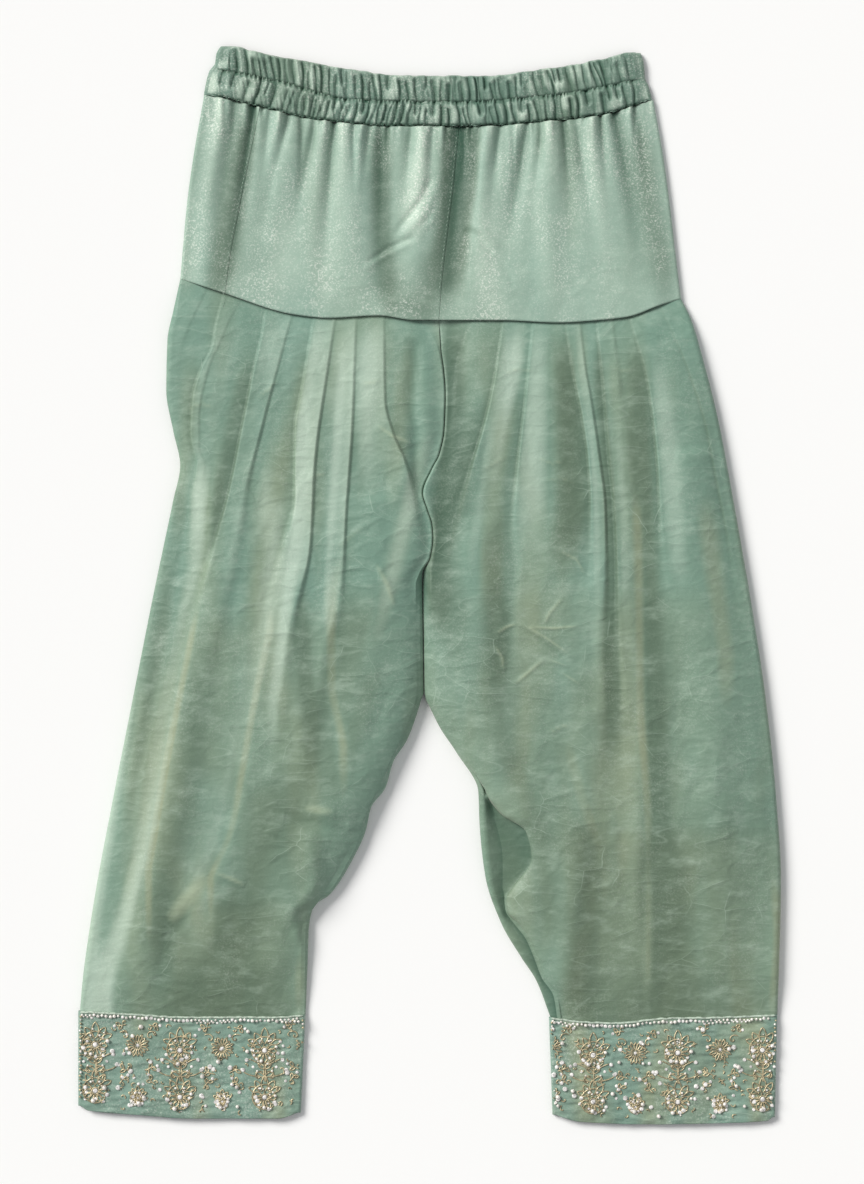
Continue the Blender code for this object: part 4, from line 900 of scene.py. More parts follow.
def yoke_forms(x, y):
    """Height of the yoke's front at x, y, the painted shade of its hollows, and the tone of its painted
    sheen and shade.
    """
    edge = np.minimum(x - along(YOKE_LEFT, y), along(YOKE_RIGHT, y) - x) - YOKE_ROLL
    settled = ease(np.clip(edge / 22, 0, 1))
    below_band = np.maximum(band_foot(x) - y, 0)
    above_foot = np.maximum(y - along(YOKE_FOOT, x), 0)
    down = below_band / (below_band + above_foot + 1e-6)
    folds = np.zeros(np.broadcast(x, y).shape)
    for fold in YOKE_FOLDS:
        sway = 2.5 * np.sin(3.1 * down + fold.head)
        width = fold.slim + (fold.wide - fold.slim) * down
        off = (x - fold.head - (fold.foot - fold.head) * down - sway * down) / width
        lasts = 0.15 * (1 - down) + np.exp(-((below_band / fold.reach) ** 2))
        folds = folds - FOLD_DEPTH * fold.depth * np.exp(-np.abs(off) ** 1.7) * lasts
    folds = folds * ease(above_foot / 34 + 0.1)
    pucker_reach = 5 + 14 * np.abs(soft_noise(x / 9, 0, 23))
    pucker = np.exp(-below_band / pucker_reach) * 3.2 * soft_noise(x / 3.6, y / 70, 21)
    ripple = 0.45 * soft_noise(x / 13, y / 90, 31) * ease(above_foot / 30)
    creases = crease_height(YOKE_CREASES, x, y)
    crushed = 0.35 * crumple(x, y, 26, 41)
    height = 2 * YOKE_ROLL + settled * (YOKE_LIFT + folds + ripple + pucker + creases + crushed)
    # Painted sheen on ridges and puckers and painted shade in troughs, a little random tone, and painted
    # shade in hollows
    relief = 0.18 * folds + 0.4 * pucker
    tone = band_tones(YOKE_BANDS, x, y)[0] + np.where(relief < 0, 0.4 * relief, relief)
    tone = np.clip(tone + 0.25 * soft_noise(x / 30, y / 70, 61), -1, 1)
    hollow = np.maximum(-(folds + 0.6 * ripple + 1.2 * pucker + 0.6 * creases) - 0.6, 0) * settled
    height = height * (1 - 0.1 * np.exp(-below_band / 3))
    # Painted shade under the waistband's foot, between its puckers
    hollow = hollow + 1.1 * (1 - teeth(x, 2)) * np.exp(-below_band / 1.5)
    return np.maximum(height, 3.0), hollow, tone


def yoke_rows(columns, left, right, gaps):
    """A grid over the yoke's front between two upright edges: x, y, z, painted hollow shade and the tone of
    painted sheen and shade.
    """
    shares = np.linspace(0, 1, YOKE_ROWS)[:, None]
    across = np.linspace(0, 1, columns)[None, :]
    y = np.full((YOKE_ROWS, columns), YOKE_MIDDLE)
    for _ in range(4):
        start, end = along(left, y) + gaps[0], along(right, y) - gaps[1]
        x = start + (end - start) * across
        top = band_foot(x) - 0.05
        foot = along(YOKE_FOOT, x) + 0.05
        y = top + (foot - top) * shares
    z, hollow, tone = yoke_forms(x, y)
    return np.stack([x, y, z, hollow, tone], axis=2)


def yoke_side(line, direction, rows):
    """The rolled side of the yoke beside a front column: its y follows that column."""
    turn = np.array(SIDE_ANGLES)[None, :] * pi / 180
    y = rows[:, :1, 1] + 0 * turn
    x = along(line, y) + direction * YOKE_ROLL * (np.cos(turn) - 1)
    z = YOKE_ROLL * (1 + np.sin(turn)) + 0 * y
    return np.stack([x, y, z, 0 * z, 0 * z], axis=2)


def flat_under(rows, ends):
    """The yoke's underside, from one side's x to the other's, on the surface."""
    shares = np.linspace(0, 1, YOKE_UNDER_COLUMNS)[None, :]
    down = np.linspace(0, 1, len(rows))[:, None]
    x = ends[0][:, None] + (ends[1] - ends[0])[:, None] * shares
    top, foot = band_foot(x) - 1, along(YOKE_FOOT, x) + 1
    y = top + (foot - top) * down
    return np.stack([x, y, 0 * x, 0 * x, 0 * x], axis=2)


def make_yoke_piece(name, rows, material, mirrored=False):
    # Painted hollow shade and the tone of painted sheen and shade that the yoke's material reads
    facts = {"hollow": rows[:, :, 3] / YOKE_FULL_SHADE, "tone": rows[:, :, 4]}
    piece = lay_shell(name + "_cloth", rows[:, :, :3], material, name, facts, mirrored=mirrored, edge=0.6)
    return piece


def make_yoke(material):
    half = SEAM_GAP / 2
    front_left = yoke_rows(YOKE_FRONT_COLUMNS, SIDE_SEAM, CENTRE_SEAM, (half, half))
    front_right = yoke_rows(YOKE_FRONT_COLUMNS, CENTRE_SEAM, YOKE_RIGHT, (half, YOKE_ROLL))
    right_side = yoke_side(YOKE_RIGHT, 1, front_right[:, -1:])
    front_right = np.concatenate([front_right, right_side], axis=1)
    strip = yoke_rows(YOKE_STRIP_COLUMNS, YOKE_LEFT, SIDE_SEAM, (YOKE_ROLL, half))[:, ::-1]
    left_side = yoke_side(YOKE_LEFT, -1, strip[:, -1:])
    ends = (left_side[:, -1, 0] + 1, right_side[:, -1, 0] - TURNED_UNDER - SEAM_GAP)
    back = np.concatenate([strip, left_side, flat_under(strip, ends)], axis=1)
    return (
        make_yoke_piece("yoke_front_left", front_left, material),
        make_yoke_piece("yoke_front_right", front_right, material),
        make_yoke_piece("yoke_back", back, material, mirrored=True),
    )


# Grooves between the waistband's gathers, by where they cross the middle of their channel
UPPER_GROOVES = (
    -178, -172, -166, -157, -151, -146, -141, -135, -129, -123, -117, -109, -104, -98, -93, -86, -80, -75,
    -71, -64, -58, -51, -47, -42, -35, -26, -19, -12, -3, 4, 10, 17, 23, 28, 34, 40, 43, 47, 53, 57, 61,
    68, 75, 80, 84, 91, 98, 105, 108, 113, 120, 126, 133, 141, 145, 149, 157, 163, 170,
)
LOWER_GROOVES = (
    -180, -170, -157, -148, -141, -134, -124, -119, -112, -107, -101, -98, -93, -87, -82, -75, -70, -63,
    -58, -53, -48, -44, -39, -34, -29, -23, -17, -12, -8, -3, 4, 10, 16, 25, 30, 34, 43, 49, 53, 58, 66,
    72, 80, 85, 92, 100, 108, 114, 121, 128, 136, 142, 149, 155, 162, 168, 176,
)


def groove_depth(grooves, x, part, slant, seed):
    """How deep the grooves of a channel are at x, `part` of the way down it: 0 on a gather to 1."""
    depth = np.zeros(np.broadcast(x, part).shape)
    for number, centre in enumerate(grooves):
        chance = [float(hashed(np.array(number), np.array(k), seed)) for k in range(6)]
        lean = slant(centre) + 3.0 * (chance[0] - 0.5)
        line = centre + lean * (part - 0.5) + 0.6 * np.sin(5 * part + 6 * chance[1])
        width = 1.1 + 1.5 * chance[2]
        starts = 0.5 * (chance[3] - 0.6)
        reach = ease((part - starts) / 0.25) if chance[4] < 0.8 else ease((0.75 - part) / 0.3)
        off = (x - line) / width
        soft_side = np.where(off * (chance[5] - 0.35) > 0, 1.9, 0.8)
        sharp = np.exp(-np.abs(off / soft_side)) * (0.6 + 0.4 * chance[1]) * reach
        depth = np.maximum(depth, sharp)
    return depth


# A channel of the waistband: its edges, rows, grooves, their scatter and their lean at x
Channel = namedtuple("Channel", "top foot rows grooves seed slant")
CHANNELS = (
    Channel(BAND_TOP, UPPER_STITCHES, 40, UPPER_GROOVES, 5, lambda x: 1.5 + 6.0 * ease((x - 20) / 120)),
    Channel(UPPER_STITCHES, LOWER_STITCHES, 36, LOWER_GROOVES, 9, lambda x: 3.0 - 9.0 * ease((40 - x) / 90)),
    Channel(LOWER_STITCHES, None, 4, LOWER_GROOVES, 9, lambda x: 0.0),
)


def teeth(x, seed):
    """Small uneven puckers along a row of stitches: 0 between two and 1 on one."""
    run = x / TOOTH + 1.1 * soft_noise(x / 11, 0, seed)
    return (0.5 + 0.5 * np.cos(2 * pi * run)) ** 1.5 * (0.55 + 0.45 * soft_noise(x / 5, 3, seed))


def band_row(channel, number, part):
    """One row across the waistband's front: x, y, z, the painted shade of its grooves and puckers, and its
    painted sheen.
    """
    share = np.linspace(0, 1, BAND_COLUMNS)
    y = np.full(share.shape, BAND_MIDDLE)
    for _ in range(4):
        left, right = along(BAND_LEFT, y) + BAND_ROLL, along(BAND_RIGHT, y) - BAND_ROLL
        x = left + (right - left) * share
        top = along(channel.top, x)
        low = along(channel.foot, x) if channel.foot else band_foot(x) + SEAM_GAP / 2
        y = top + (low - top) * part
    sides = ease(np.minimum(share, 1 - share) * 22 + 0.15)
    depth = groove_depth(channel.grooves, x, part, channel.slant, channel.seed)
    tall = top - low
    from_top, from_foot = part * tall, (1 - part) * tall
    stitched_top = np.exp(-((from_top / 2.2) ** 2)) * (number > 0)
    stitched_foot = np.exp(-((from_foot / 1.1) ** 2)) * (number < 2)
    bitten_foot = stitched_foot * (0.4 + 0.6 * teeth(x, number + 1))
    bitten = np.maximum(stitched_top * (1 - teeth(x, number)), bitten_foot)
    hem = ease(from_top / 2.0 + 0.2) if number == 0 else 1.0
    puff = np.sqrt(np.clip(4 * (part * 0.9 + 0.08) * (1 - part), 0, 1)) if number < 2 else 0.4
    z = BAND_FACE + sides * (BAND_PUFF * puff + GROOVE * (0.75 + 0.25 * puff) * (1 - depth) - 2.2 * bitten)
    fine = 0.35 * soft_noise(x / 5, y / 8, channel.seed + 2)
    fine = fine + 0.7 * soft_noise(x / 1.9 + y / 14, y / 16, 8)
    z = z * hem + 3.4 * (1 - hem) + sides * fine
    poke = 2.2 * teeth(x, number) * np.exp(-from_top / 2.5) * (number > 0)
    wave = 0.7 * soft_noise(x / 6, 0, 77) * np.exp(-from_top / 8) * (number == 0)
    # Painted shade in the grooves and at the puckered stitches, and painted highlights on the gathers
    hollow = 0.9 * depth ** 1.8 + 0.45 * bitten + 0.08 * (1 - np.asarray(puff))
    glow = (0.65 - 1.7 * depth) * np.asarray(puff) - bitten
    glow = glow + 0.5 * soft_noise(x / 9, y / 9, channel.seed + 4)
    glow = np.where(glow < 0, 0.3 * glow, glow)
    return np.stack([x, y + poke + wave, z, np.clip(hollow, 0, 1) * sides, np.clip(glow, -1, 1)], axis=1)


def side_roll(column, direction, radius, angles):
    """Columns that roll from the edge column of a front down to the surface."""
    half = column[:, None, 2] / 2
    x = column[:, None, 0] + direction * radius * np.cos(angles)[None, :]
    return np.stack([x, column[:, None, 1] + 0 * x, half * (1 + np.sin(angles)[None, :])], axis=2)


def flattened_tube(front, radius):
    """A front, both rolled sides and a plain underside, as one ring of columns."""
    turn = np.linspace(75, -90, 8) * pi / 180
    right = side_roll(front[:, -1], 1, radius, turn)
    left = side_roll(front[:, 0], -1, radius, turn[::-1])
    shares = np.linspace(1, 0, RING_UNDER_COLUMNS)[None, :]
    x = front[:, :1, 0] + (front[:, -1:, 0] - front[:, :1, 0]) * shares
    y = np.array([np.interp(x[k], front[k, :, 0], front[k, :, 1]) for k in range(len(front))])
    under = np.stack([x, y, 0 * x], axis=2)
    return np.concatenate([front, right, under[:, 1:-1], left], axis=1)


def make_waistband(material):
    made = []
    for number, channel in enumerate(CHANNELS):
        last = number == len(CHANNELS) - 1
        for part in np.linspace(0, 1, channel.rows, endpoint=last):
            made.append(band_row(channel, number, part))
    front = np.array(made)
    points = flattened_tube(front[:, :, :3], BAND_ROLL)
    hollow, tone = np.zeros(points.shape[:2]), np.zeros(points.shape[:2])
    hollow[:, :BAND_COLUMNS], tone[:, :BAND_COLUMNS] = front[:, :, 3], front[:, :, 4]
    facts = {"hollow": hollow, "tone": tone}
    piece = lay_shell("waistband_cloth", points, material, "waistband", facts, closed=True)
    return piece


Cuff = namedtuple("Cuff", "name top foot first_motif")
CUFFS = (
    Cuff("cuff_left", LEFT_CUFF_TOP, LEFT_CUFF_FOOT, LEFT_CUFF_FIRST),
    Cuff("cuff_right", RIGHT_CUFF_TOP, RIGHT_CUFF_FOOT, RIGHT_CUFF_FIRST),
)


def cuff_sides(cuff):
    left = ((cuff.top[0][1], cuff.top[0][0]), (cuff.foot[0][1], cuff.foot[0][0]))
    right = ((cuff.top[-1][1], cuff.top[-1][0]), (cuff.foot[-1][1], cuff.foot[-1][0]))
    return left, right


def cuff_height(x, y):
    """Height of a cuff's upper cloth, crinkled by the close stitching."""
    crinkle = 0.7 * soft_noise(x / 9, y / 2.8, 51) + 0.55 * crumple(0.7 * x, 1.4 * y, 14, 53) - 0.2
    return 2 * CUFF_ROLL - 0.2 + crinkle


def make_cuff(cuff, material):
    left, right = cuff_sides(cuff)
    roll = CUFF_ROLL - 0.4
    share = np.linspace(0, 1, CUFF_COLUMNS)[None, :]
    part = np.linspace(0, 1, CUFF_ROWS)[:, None]
    y = np.full((CUFF_ROWS, CUFF_COLUMNS), CUFF_MIDDLE)
    for _ in range(4):
        start, end = along(left, y) + roll, along(right, y) - roll
        x = start + (end - start) * share
        top = along(cuff.top, x) - SEAM_GAP / 2
        y = top + (along(cuff.foot, x) - top) * part
    settled = 0.5 * (1 - ease(np.minimum(share, 1 - share) * 30))
    z = cuff_height(x, y) - settled - 0.5 * (1 - ease(np.minimum(part, 1 - part) * 25))
    points = flattened_tube(np.stack([x, y, z], axis=2), roll)
    facts = {"hollow": np.zeros(points.shape[:2])}
    piece = lay_shell(cuff.name + "_cloth", points, material, cuff.name, facts, closed=True, edge=1.2)
    return piece


# A bit of embroidery: chains of (x, y) points for the gold coils, and (x, y, radius) rounds
Sprig = namedtuple("Sprig", "coils stones pearls beads")


def sprig_of(*coils):
    """A bit of embroidery with these coils, and no stones or beads yet."""
    return Sprig(list(coils), [], [], [])


def leaf(x, y, angle, length, width, count=9):
    """Outline of a leaf or petal from its foot at x, y."""
    t = np.linspace(0, 1, count)
    ahead = np.concatenate([length * t, length * t[::-1][1:]])
    aside = 0.5 * width * np.concatenate([np.sin(pi * t) ** 0.8, -np.sin(pi * t[::-1][1:]) ** 0.8])
    turn = angle * pi / 180
    turned_x = x + ahead * cos(turn) - aside * sin(turn)
    turned_y = y + ahead * sin(turn) + aside * cos(turn)
    return np.stack([turned_x, turned_y], 1)


def curl(x, y, angle, size, hand, turns=1.1, count=18):
    """A scroll that leaves x, y and winds inwards, to the left for hand 1 and to the right for -1."""
    t = np.linspace(0, 1, count)
    heading = angle * pi / 180 + hand * 2 * pi * turns * t**1.4
    step = size * (1.15 - t) * 0.16
    return np.stack([x + np.cumsum(step * np.cos(heading)), y + np.cumsum(step * np.sin(heading))], 1)


def bow(x, y, angle, length, bend, count=12):
    """A stem from x, y that bends to one side."""
    t = np.linspace(0, 1, count)
    heading = angle * pi / 180 + bend * (t - 0.5)
    step = length / count
    return np.stack([x + np.cumsum(step * np.cos(heading)), y + np.cumsum(step * np.sin(heading))], 1)


def ring(x, y, radius, count=14):
    turn = np.linspace(0, 2 * pi, count)
    return np.stack([x + radius * np.cos(turn), y + radius * np.sin(turn)], 1)


def bud(x, y, size, chance):
    """A lotus bud: a crown of leaves over a round head of petals, stones and beads."""
    made = sprig_of()
    for angle, length, width, aside in ((90, 12, 5, 0), (122, 9.5, 4.4, -2.2), (58, 9.5, 4.4, 2.2),
                                        (158, 8, 3.6, -4.5), (22, 8, 3.6, 4.5)):
        made.coils.append(leaf(x + aside * size, y + 4.5 * size, angle, length * size, width * size))
    for k in range(9):
        angle = -205 + 230 * k / 8
        turn = angle * pi / 180
        start = (x + 2.4 * size * cos(turn), y + 2.4 * size * sin(turn))
        made.coils.append(leaf(*start, angle, 6.2 * size, 3.4 * size))
    made.coils.append(ring(x, y, 2.6 * size))
    made.coils.append(ring(x, y + 0.4 * size, 9.4 * size, 30)[4:27])
    made.stones.append((x, y, 1.9 * size))
    for k in range(7):
        angle = 2 * pi * k / 7 + chance.uniform(-0.2, 0.2)
        made.beads.append((x + 3.9 * size * cos(angle), y + 3.9 * size * sin(angle), 0.8))
    for _ in range(16):
        angle, far = chance.uniform(0, 2 * pi), chance.uniform(4, 11) * size
        kind = made.pearls if chance.random() < 0.6 else made.beads
        kind.append((x + far * cos(angle), y + 1.1 * far * sin(angle), chance.uniform(0.55, 0.95)))
    for k in range(8):
        angle = pi * (0.08 - 1.16 * k / 7) + chance.uniform(-0.22, 0.22)
        far = (8.4 + chance.uniform(-2.4, 2.2)) * size
        kind = made.stones if k % 4 else made.pearls
        kind.append((x + far * cos(angle), y + far * sin(angle), chance.uniform(1.3, 2.2)))
    made.pearls.append((x - 3.2 * size, y + 6.8 * size, 1.1))
    made.pearls.append((x + 3.2 * size, y + 6.8 * size, 1.1))
    return made


def stem(x, y, length, chance):
    """A stalk that runs down from x, y with leaves, scrolls and stones on both sides."""
    made = sprig_of()
    made.coils.append(bow(x, y, -90, length, chance.uniform(-0.3, 0.3)))
    made.coils.append(bow(x + 0.9, y, -90, length, chance.uniform(-0.3, 0.3)))
    for side in (-1, 1):
        made.coils.append(leaf(x, y - 0.35 * length, 90 - side * 50, 7.5, 3.2))
        made.coils.append(leaf(x, y - 0.75 * length, 90 - side * 62, 8.5, 3.2))
        made.coils.append(curl(x, y - 0.5 * length, 90 - side * 75, 9, -side))
        made.coils.append(bow(x + side * 2, y - 0.7 * length, 90 - side * 78, 17, side * 0.7))
        made.coils.append(bow(x + side * 2, y - 0.25 * length, 90 - side * 60, 14, -side * 0.5))
        made.stones.append((x + side * 18.5, y - 0.7 * length + 5.0, 1.9))
        made.stones.append((x + side * 15.5, y - 0.25 * length + 6.0, 1.8))
        made.stones.append((x + side * 10, y - 0.25 * length, 1.35))
        made.pearls.append((x + side * 6.4, y - 0.45 * length, 1.0))
    return made


def sun(x, y, size, rays=16):
    """A round of looped rays about a stone."""
    made = Sprig([], [(x, y, 1.5)], [], [])
    for k in range(rays):
        angle = 360 * k / rays
        start = (x + 2.7 * cos(angle * pi / 180), y + 2.7 * sin(angle * pi / 180))
        long_ray = 5.8 if k % 2 else 4.9
        made.coils.append(leaf(*start, angle, long_ray * size, 1.7 * size, 5))
    for k in range(8):
        angle = 2 * pi * k / 8
        made.beads.append((x + 2.2 * cos(angle), y + 2.2 * sin(angle), 0.6))
    return made


def spray(x, y, angle, size, chance):
    """A small branch with two leaves, a scroll and a stone at its tip."""
    made = sprig_of()
    bend = chance.uniform(-0.9, 0.9)
    line = bow(x, y, angle, 11 * size, bend)
    made.coils.append(line)
    made.coils.append(leaf(*line[5], angle + 45, 5 * size, 2.4))
    made.coils.append(leaf(*line[7], angle - 45, 5 * size, 2.4))
    made.coils.append(curl(*line[3], angle - 70, 6 * size, -1, 0.9, 12))
    made.stones.append((*(line[-1] + (line[-1] - line[-2]) * 2.0), 1.45))
    made.beads.append((*line[2], 0.7))
    return made


def cuff_design(cuff, chance):
    """Every coil, stone, pearl and bead of one cuff, on the flat."""
    left, right = cuff.top[0][0], cuff.top[-1][0]

    def level(x, down):
        return float(along(cuff.top, x)) * (1 - down) + float(along(cuff.foot, x)) * down

    sprigs = []
    for number in range(-1, 4):
        x = left + cuff.first_motif + MOTIF_PITCH * number
        half = x + MOTIF_PITCH / 2
        sprigs.append(bud(x, level(x, BUD_DOWN), 1.2, chance))
        sprigs.append(stem(x, level(x, BUD_DOWN) - 10, 17, chance))
        sprigs.append(bud(x, level(x, LOWER_BUD_DOWN), 1.15, chance))
        sprigs.append(sun(half, level(half, BUD_DOWN - 0.02), 1.3))
        sprigs.append(bud(half, level(half, 0.83), 0.65, chance))
        for side in (-1, 1):
            for aside, down, lean, size in SPRAYS:
                spot = (half + side * aside, level(half, down))
                sprigs.append(spray(*spot, 90 + side * lean, size, chance))
            scroll = curl(half + side * 17, level(half, 0.19), 90 + side * 60, 9, side)
            sprigs.append(sprig_of(scroll))
        for _ in range(18):
            spot = (half + chance.uniform(-24, 24), level(half, chance.uniform(0.12, 0.95)))
            single = sprig_of()
            kind = single.stones if chance.random() < 0.7 else single.pearls
            kind.append((*spot, chance.uniform(1.3, 2.3)))
            sprigs.append(single)
        for _ in range(36):
            spot = (half + chance.uniform(-30, 30), level(half, chance.uniform(0.1, 0.96)))
            scroll = curl(*spot, chance.uniform(0, 360), chance.uniform(4, 8), 1, 0.7, 10)
            sprigs.append(sprig_of(scroll))
    steps = int((right - left - 5) / STONE_SPACING)
    for k in range(steps):
        x = left + 3.5 + k * STONE_SPACING + chance.uniform(-0.3, 0.3)
        row = sprig_of()
        thick = soft_noise(np.array(x / 24), np.array(0.0), 91) > 0.05
        for aside in (0.0, 1.7) if thick else (0.0,):
            kind = row.pearls if chance.random() < 0.7 else row.stones
            size = chance.uniform(0.9, 1.35) if thick else chance.uniform(1.1, 1.7)
            kind.append((x + 0.8 * aside, level(x, 0.03) - 0.6 - aside + chance.uniform(-0.6, 0.6), size))
        sprigs.append(row)
    for end, inwards in ((left, 1), (right, -1)):
        for k in range(24):
            down = 0.06 + 0.9 * k / 24
            x = end + inwards * (1.6 + chance.uniform(0, 1.2))
            row = sprig_of()
            (row.beads, row.pearls, row.beads)[k % 3].append((x, level(end, down), chance.uniform(0.8, 1.2)))
            sprigs.append(row)
    return sprigs


def inside_cuff(cuff, points, margin):
    x, y = points[:, 0], points[:, 1]
    left, right = cuff_sides(cuff)
    across = (x > along(left, y) + margin) & (x < along(right, y) - margin)
    return across & (y < along(cuff.top, x) - margin) & (y > along(cuff.foot, x) + margin)


def joined_mesh(name, points, faces, material, smooth):
    mesh = bpy.data.meshes.new(name)
    mesh.from_pydata((np.concatenate(points) * MM).tolist(), [], np.concatenate(faces).tolist())
    mesh.materials.append(material)
    if smooth:
        mesh.shade_smooth()
    piece = bpy.data.objects.new(name, mesh)
    bpy.context.scene.collection.objects.link(piece)
    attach(piece, "root")
    return piece


def coil_mesh(name, lines, radius, sides, material):
    """Round coils along chains of (x, y, z) points, tapered at their ends."""
    points, faces, used = [], [], 0
    turn = 2 * pi * np.arange(sides) / sides
    for line in lines:
        run = np.gradient(line, axis=0)
        run /= np.maximum(np.linalg.norm(run, axis=1, keepdims=True), 1e-9)
        across = np.stack([-run[:, 1], run[:, 0], 0 * run[:, 0]], 1)
        size = np.full((len(line), 1, 1), radius)
        size[0] = size[-1] = 0.35 * radius
        spread = across[:, None, :] * np.cos(turn)[None, :, None]
        spread = spread + np.array([0, 0, 1.0]) * np.sin(turn)[None, :, None]
        points.append((line[:, None, :] + size * spread).reshape(-1, 3))
        number = used + np.arange(len(line) * sides).reshape(len(line), sides)
        beside = np.roll(number, -1, axis=1)
        faces.append(np.stack([number[:-1], beside[:-1], beside[1:], number[1:]], 2).reshape(-1, 4))
        used += len(line) * sides
    return joined_mesh(name, points, faces, material, True)


def turned_mesh(name, rounds, profile, sides, material, smooth):
    """One turned shape at each (x, y, z, size): `profile` is its (radius, height) rows from foot to top."""
    profile = np.array(profile)
    turn = 2 * pi * np.arange(sides) / sides
    ring_points = np.stack([np.cos(turn), np.sin(turn)], 1)
    rings = [np.stack([r * ring_points[:, 0], r * ring_points[:, 1], 0 * turn + h], 1) for r, h in profile]
    shape = np.concatenate(rings)
    number = np.arange(len(profile) * sides).reshape(len(profile), sides)
    beside = np.roll(number, -1, axis=1)
    body = np.stack([number[:-1], beside[:-1], beside[1:], number[1:]], 2).reshape(-1, 4)
    points, faces = [], []
    for count, (x, y, z, size) in enumerate(rounds):
        points.append(shape * size + np.array([x, y, z]))
        faces.append(body + count * len(shape))
    return joined_mesh(name, points, faces, material, smooth)


STONE_PROFILE = ((0.55, 0.0), (1.0, 0.05), (1.0, 0.32), (0.62, 0.72), (0.03, 0.78))
PEARL_PROFILE = ((0.5, 0.15), (0.9, 0.55), (1.0, 0.9), (0.87, 1.4), (0.5, 1.76), (0.03, 1.9))


def embroider(cuff, seed, gold, crystal, pearl, piping):
    """Coils, stones, pearls and beads on a cuff, as one joined mesh of each."""
    chance = np.random.default_rng(seed)
    sprigs = cuff_design(cuff, chance)
    coils = []
    for sprig in sprigs:
        for line in sprig.coils:
            kept = inside_cuff(cuff, line, 3.0)
            lifted = np.column_stack([line, cuff_height(line[:, 0], line[:, 1]) + 0.7 * COIL_RADIUS])
            runs = np.split(np.arange(len(line)), np.flatnonzero(np.diff(kept.astype(int))) + 1)
            coils += [lifted[run] for run in runs if kept[run[0]] and len(run) > 2]
    pieces = [coil_mesh(cuff.name + "_coils", coils, COIL_RADIUS, 5, gold)]
    edge_x = np.linspace(cuff.top[0][0] + 2, cuff.top[-1][0] - 2, 120)
    edge_y = along(cuff.top, edge_x) - 0.8 + 0.35 * soft_noise(edge_x / 4, 0, seed)
    edge_line = np.column_stack([edge_x, edge_y, cuff_height(edge_x, edge_y) - 0.1])
    pieces.append(coil_mesh(cuff.name + "_folded_edge", [edge_line], 1.0, 7, piping))
    for kind, profile, sides, material, smooth in (
        ("stones", STONE_PROFILE, 8, crystal, False),
        ("pearls", PEARL_PROFILE, 9, pearl, True),
        ("beads", PEARL_PROFILE, 7, gold, True),
    ):
        rounds = np.array([spot for sprig in sprigs for spot in getattr(sprig, kind)])
        rounds = rounds[inside_cuff(cuff, rounds, 1.5)]
        heights = cuff_height(rounds[:, 0], rounds[:, 1]) - 0.15
        rounds = np.column_stack([rounds[:, :2], heights, rounds[:, 2]])
        pieces.append(turned_mesh(cuff.name + "_" + kind, rounds, profile, sides, material, smooth))
    return pieces


def stitch_lines(line, height_at):
    """Short threads along a chain of (x, y) points."""
    line = np.array(line, float)
    run = np.concatenate([[0], np.cumsum(np.hypot(*np.diff(line, axis=0).T))])
    made = []
    for start in np.arange(0.5, run[-1] - STITCH, STITCH + STITCH_GAP):
        place = start + STITCH * np.array([0, 0.5, 1])
        x, y = np.interp(place, run, line[:, 0]), np.interp(place, run, line[:, 1])
        made.append(np.column_stack([x, y, height_at(x, y) + np.array([0.0, 0.16, 0.0])]))
    return made


def yoke_stitches(name, seam, thread):
    """A row of stitches beside an upright seam of the yoke."""
    y = np.linspace(band_foot(0) - 8, float(along(YOKE_FOOT, 0)) + 6, 60)
    x = along(seam, y) - STITCH_ASIDE
    lines = stitch_lines(np.column_stack([x, y]), lambda px, py: yoke_forms(px, py)[0])
    piece = coil_mesh(name, lines, THREAD, 5, thread)
    return piece


def shaded(name):
    """A new material with its node tree, its shader and the place of each point on the object."""
    material = bpy.data.materials.new(name)
    material.use_nodes = True
    tree = material.node_tree
    where = tree.nodes.new("ShaderNodeTexCoord").outputs["Object"]
    return material, tree, tree.nodes["Principled BSDF"], where


def trim_material(name, colour, metallic, roughness, dulled, coat=0.0):
    """Metal thread, stone or pearl, darker in small spots by `dulled`."""
    material, tree, shader, where = shaded(name)
    spots = ramped(tree, noise(tree, where, 380.0, 2.0, 0.6), 0.35, 0.6)
    darker = tuple(dulled * channel for channel in colour[:3]) + (1,)
    tree.links.new(mixed(tree, spots, darker, colour), shader.inputs["Base Color"])
    shader.inputs["Metallic"].default_value = metallic
    shader.inputs["Roughness"].default_value = roughness
    shader.inputs["Coat Weight"].default_value = coat
    tree.links.new(bumped(tree, noise(tree, where, 1500.0, 1.0, 0.5), 0.0003, 0.5), shader.inputs["Normal"])
    return material


# Colours of the organza: its gold cast, a dull olive that also serves for painted shade, the painted shade
# of hollows, a pale that also serves for painted sheen and highlights, its cool parts, the painted glints of
# its grain and the painted highlights on rims
WARM = (0.265, 0.315, 0.205, 1)
OLIVE_AND_SHADE = (0.082, 0.13, 0.085, 1)
HOLLOW_SHADE = (0.018, 0.075, 0.045, 1)
PALE_AND_SHEEN = (0.50, 0.63, 0.52, 1)
COOL = (0.215, 0.36, 0.295, 1)
GRAIN_GLINT = (0.80, 0.84, 0.76, 1)
RIM_HIGHLIGHT = (0.55, 0.62, 0.42, 1)


def mixed(tree, share, first, second):
    """A node that mixes two colours, each a socket or a fixed colour."""
    node = tree.nodes.new("ShaderNodeMix")
    node.data_type = "RGBA"
    for socket, value in ((node.inputs[0], share), (node.inputs[6], first), (node.inputs[7], second)):
        if isinstance(value, bpy.types.NodeSocket):
            tree.links.new(value, socket)
        else:
            socket.default_value = value
    return node.outputs[2]


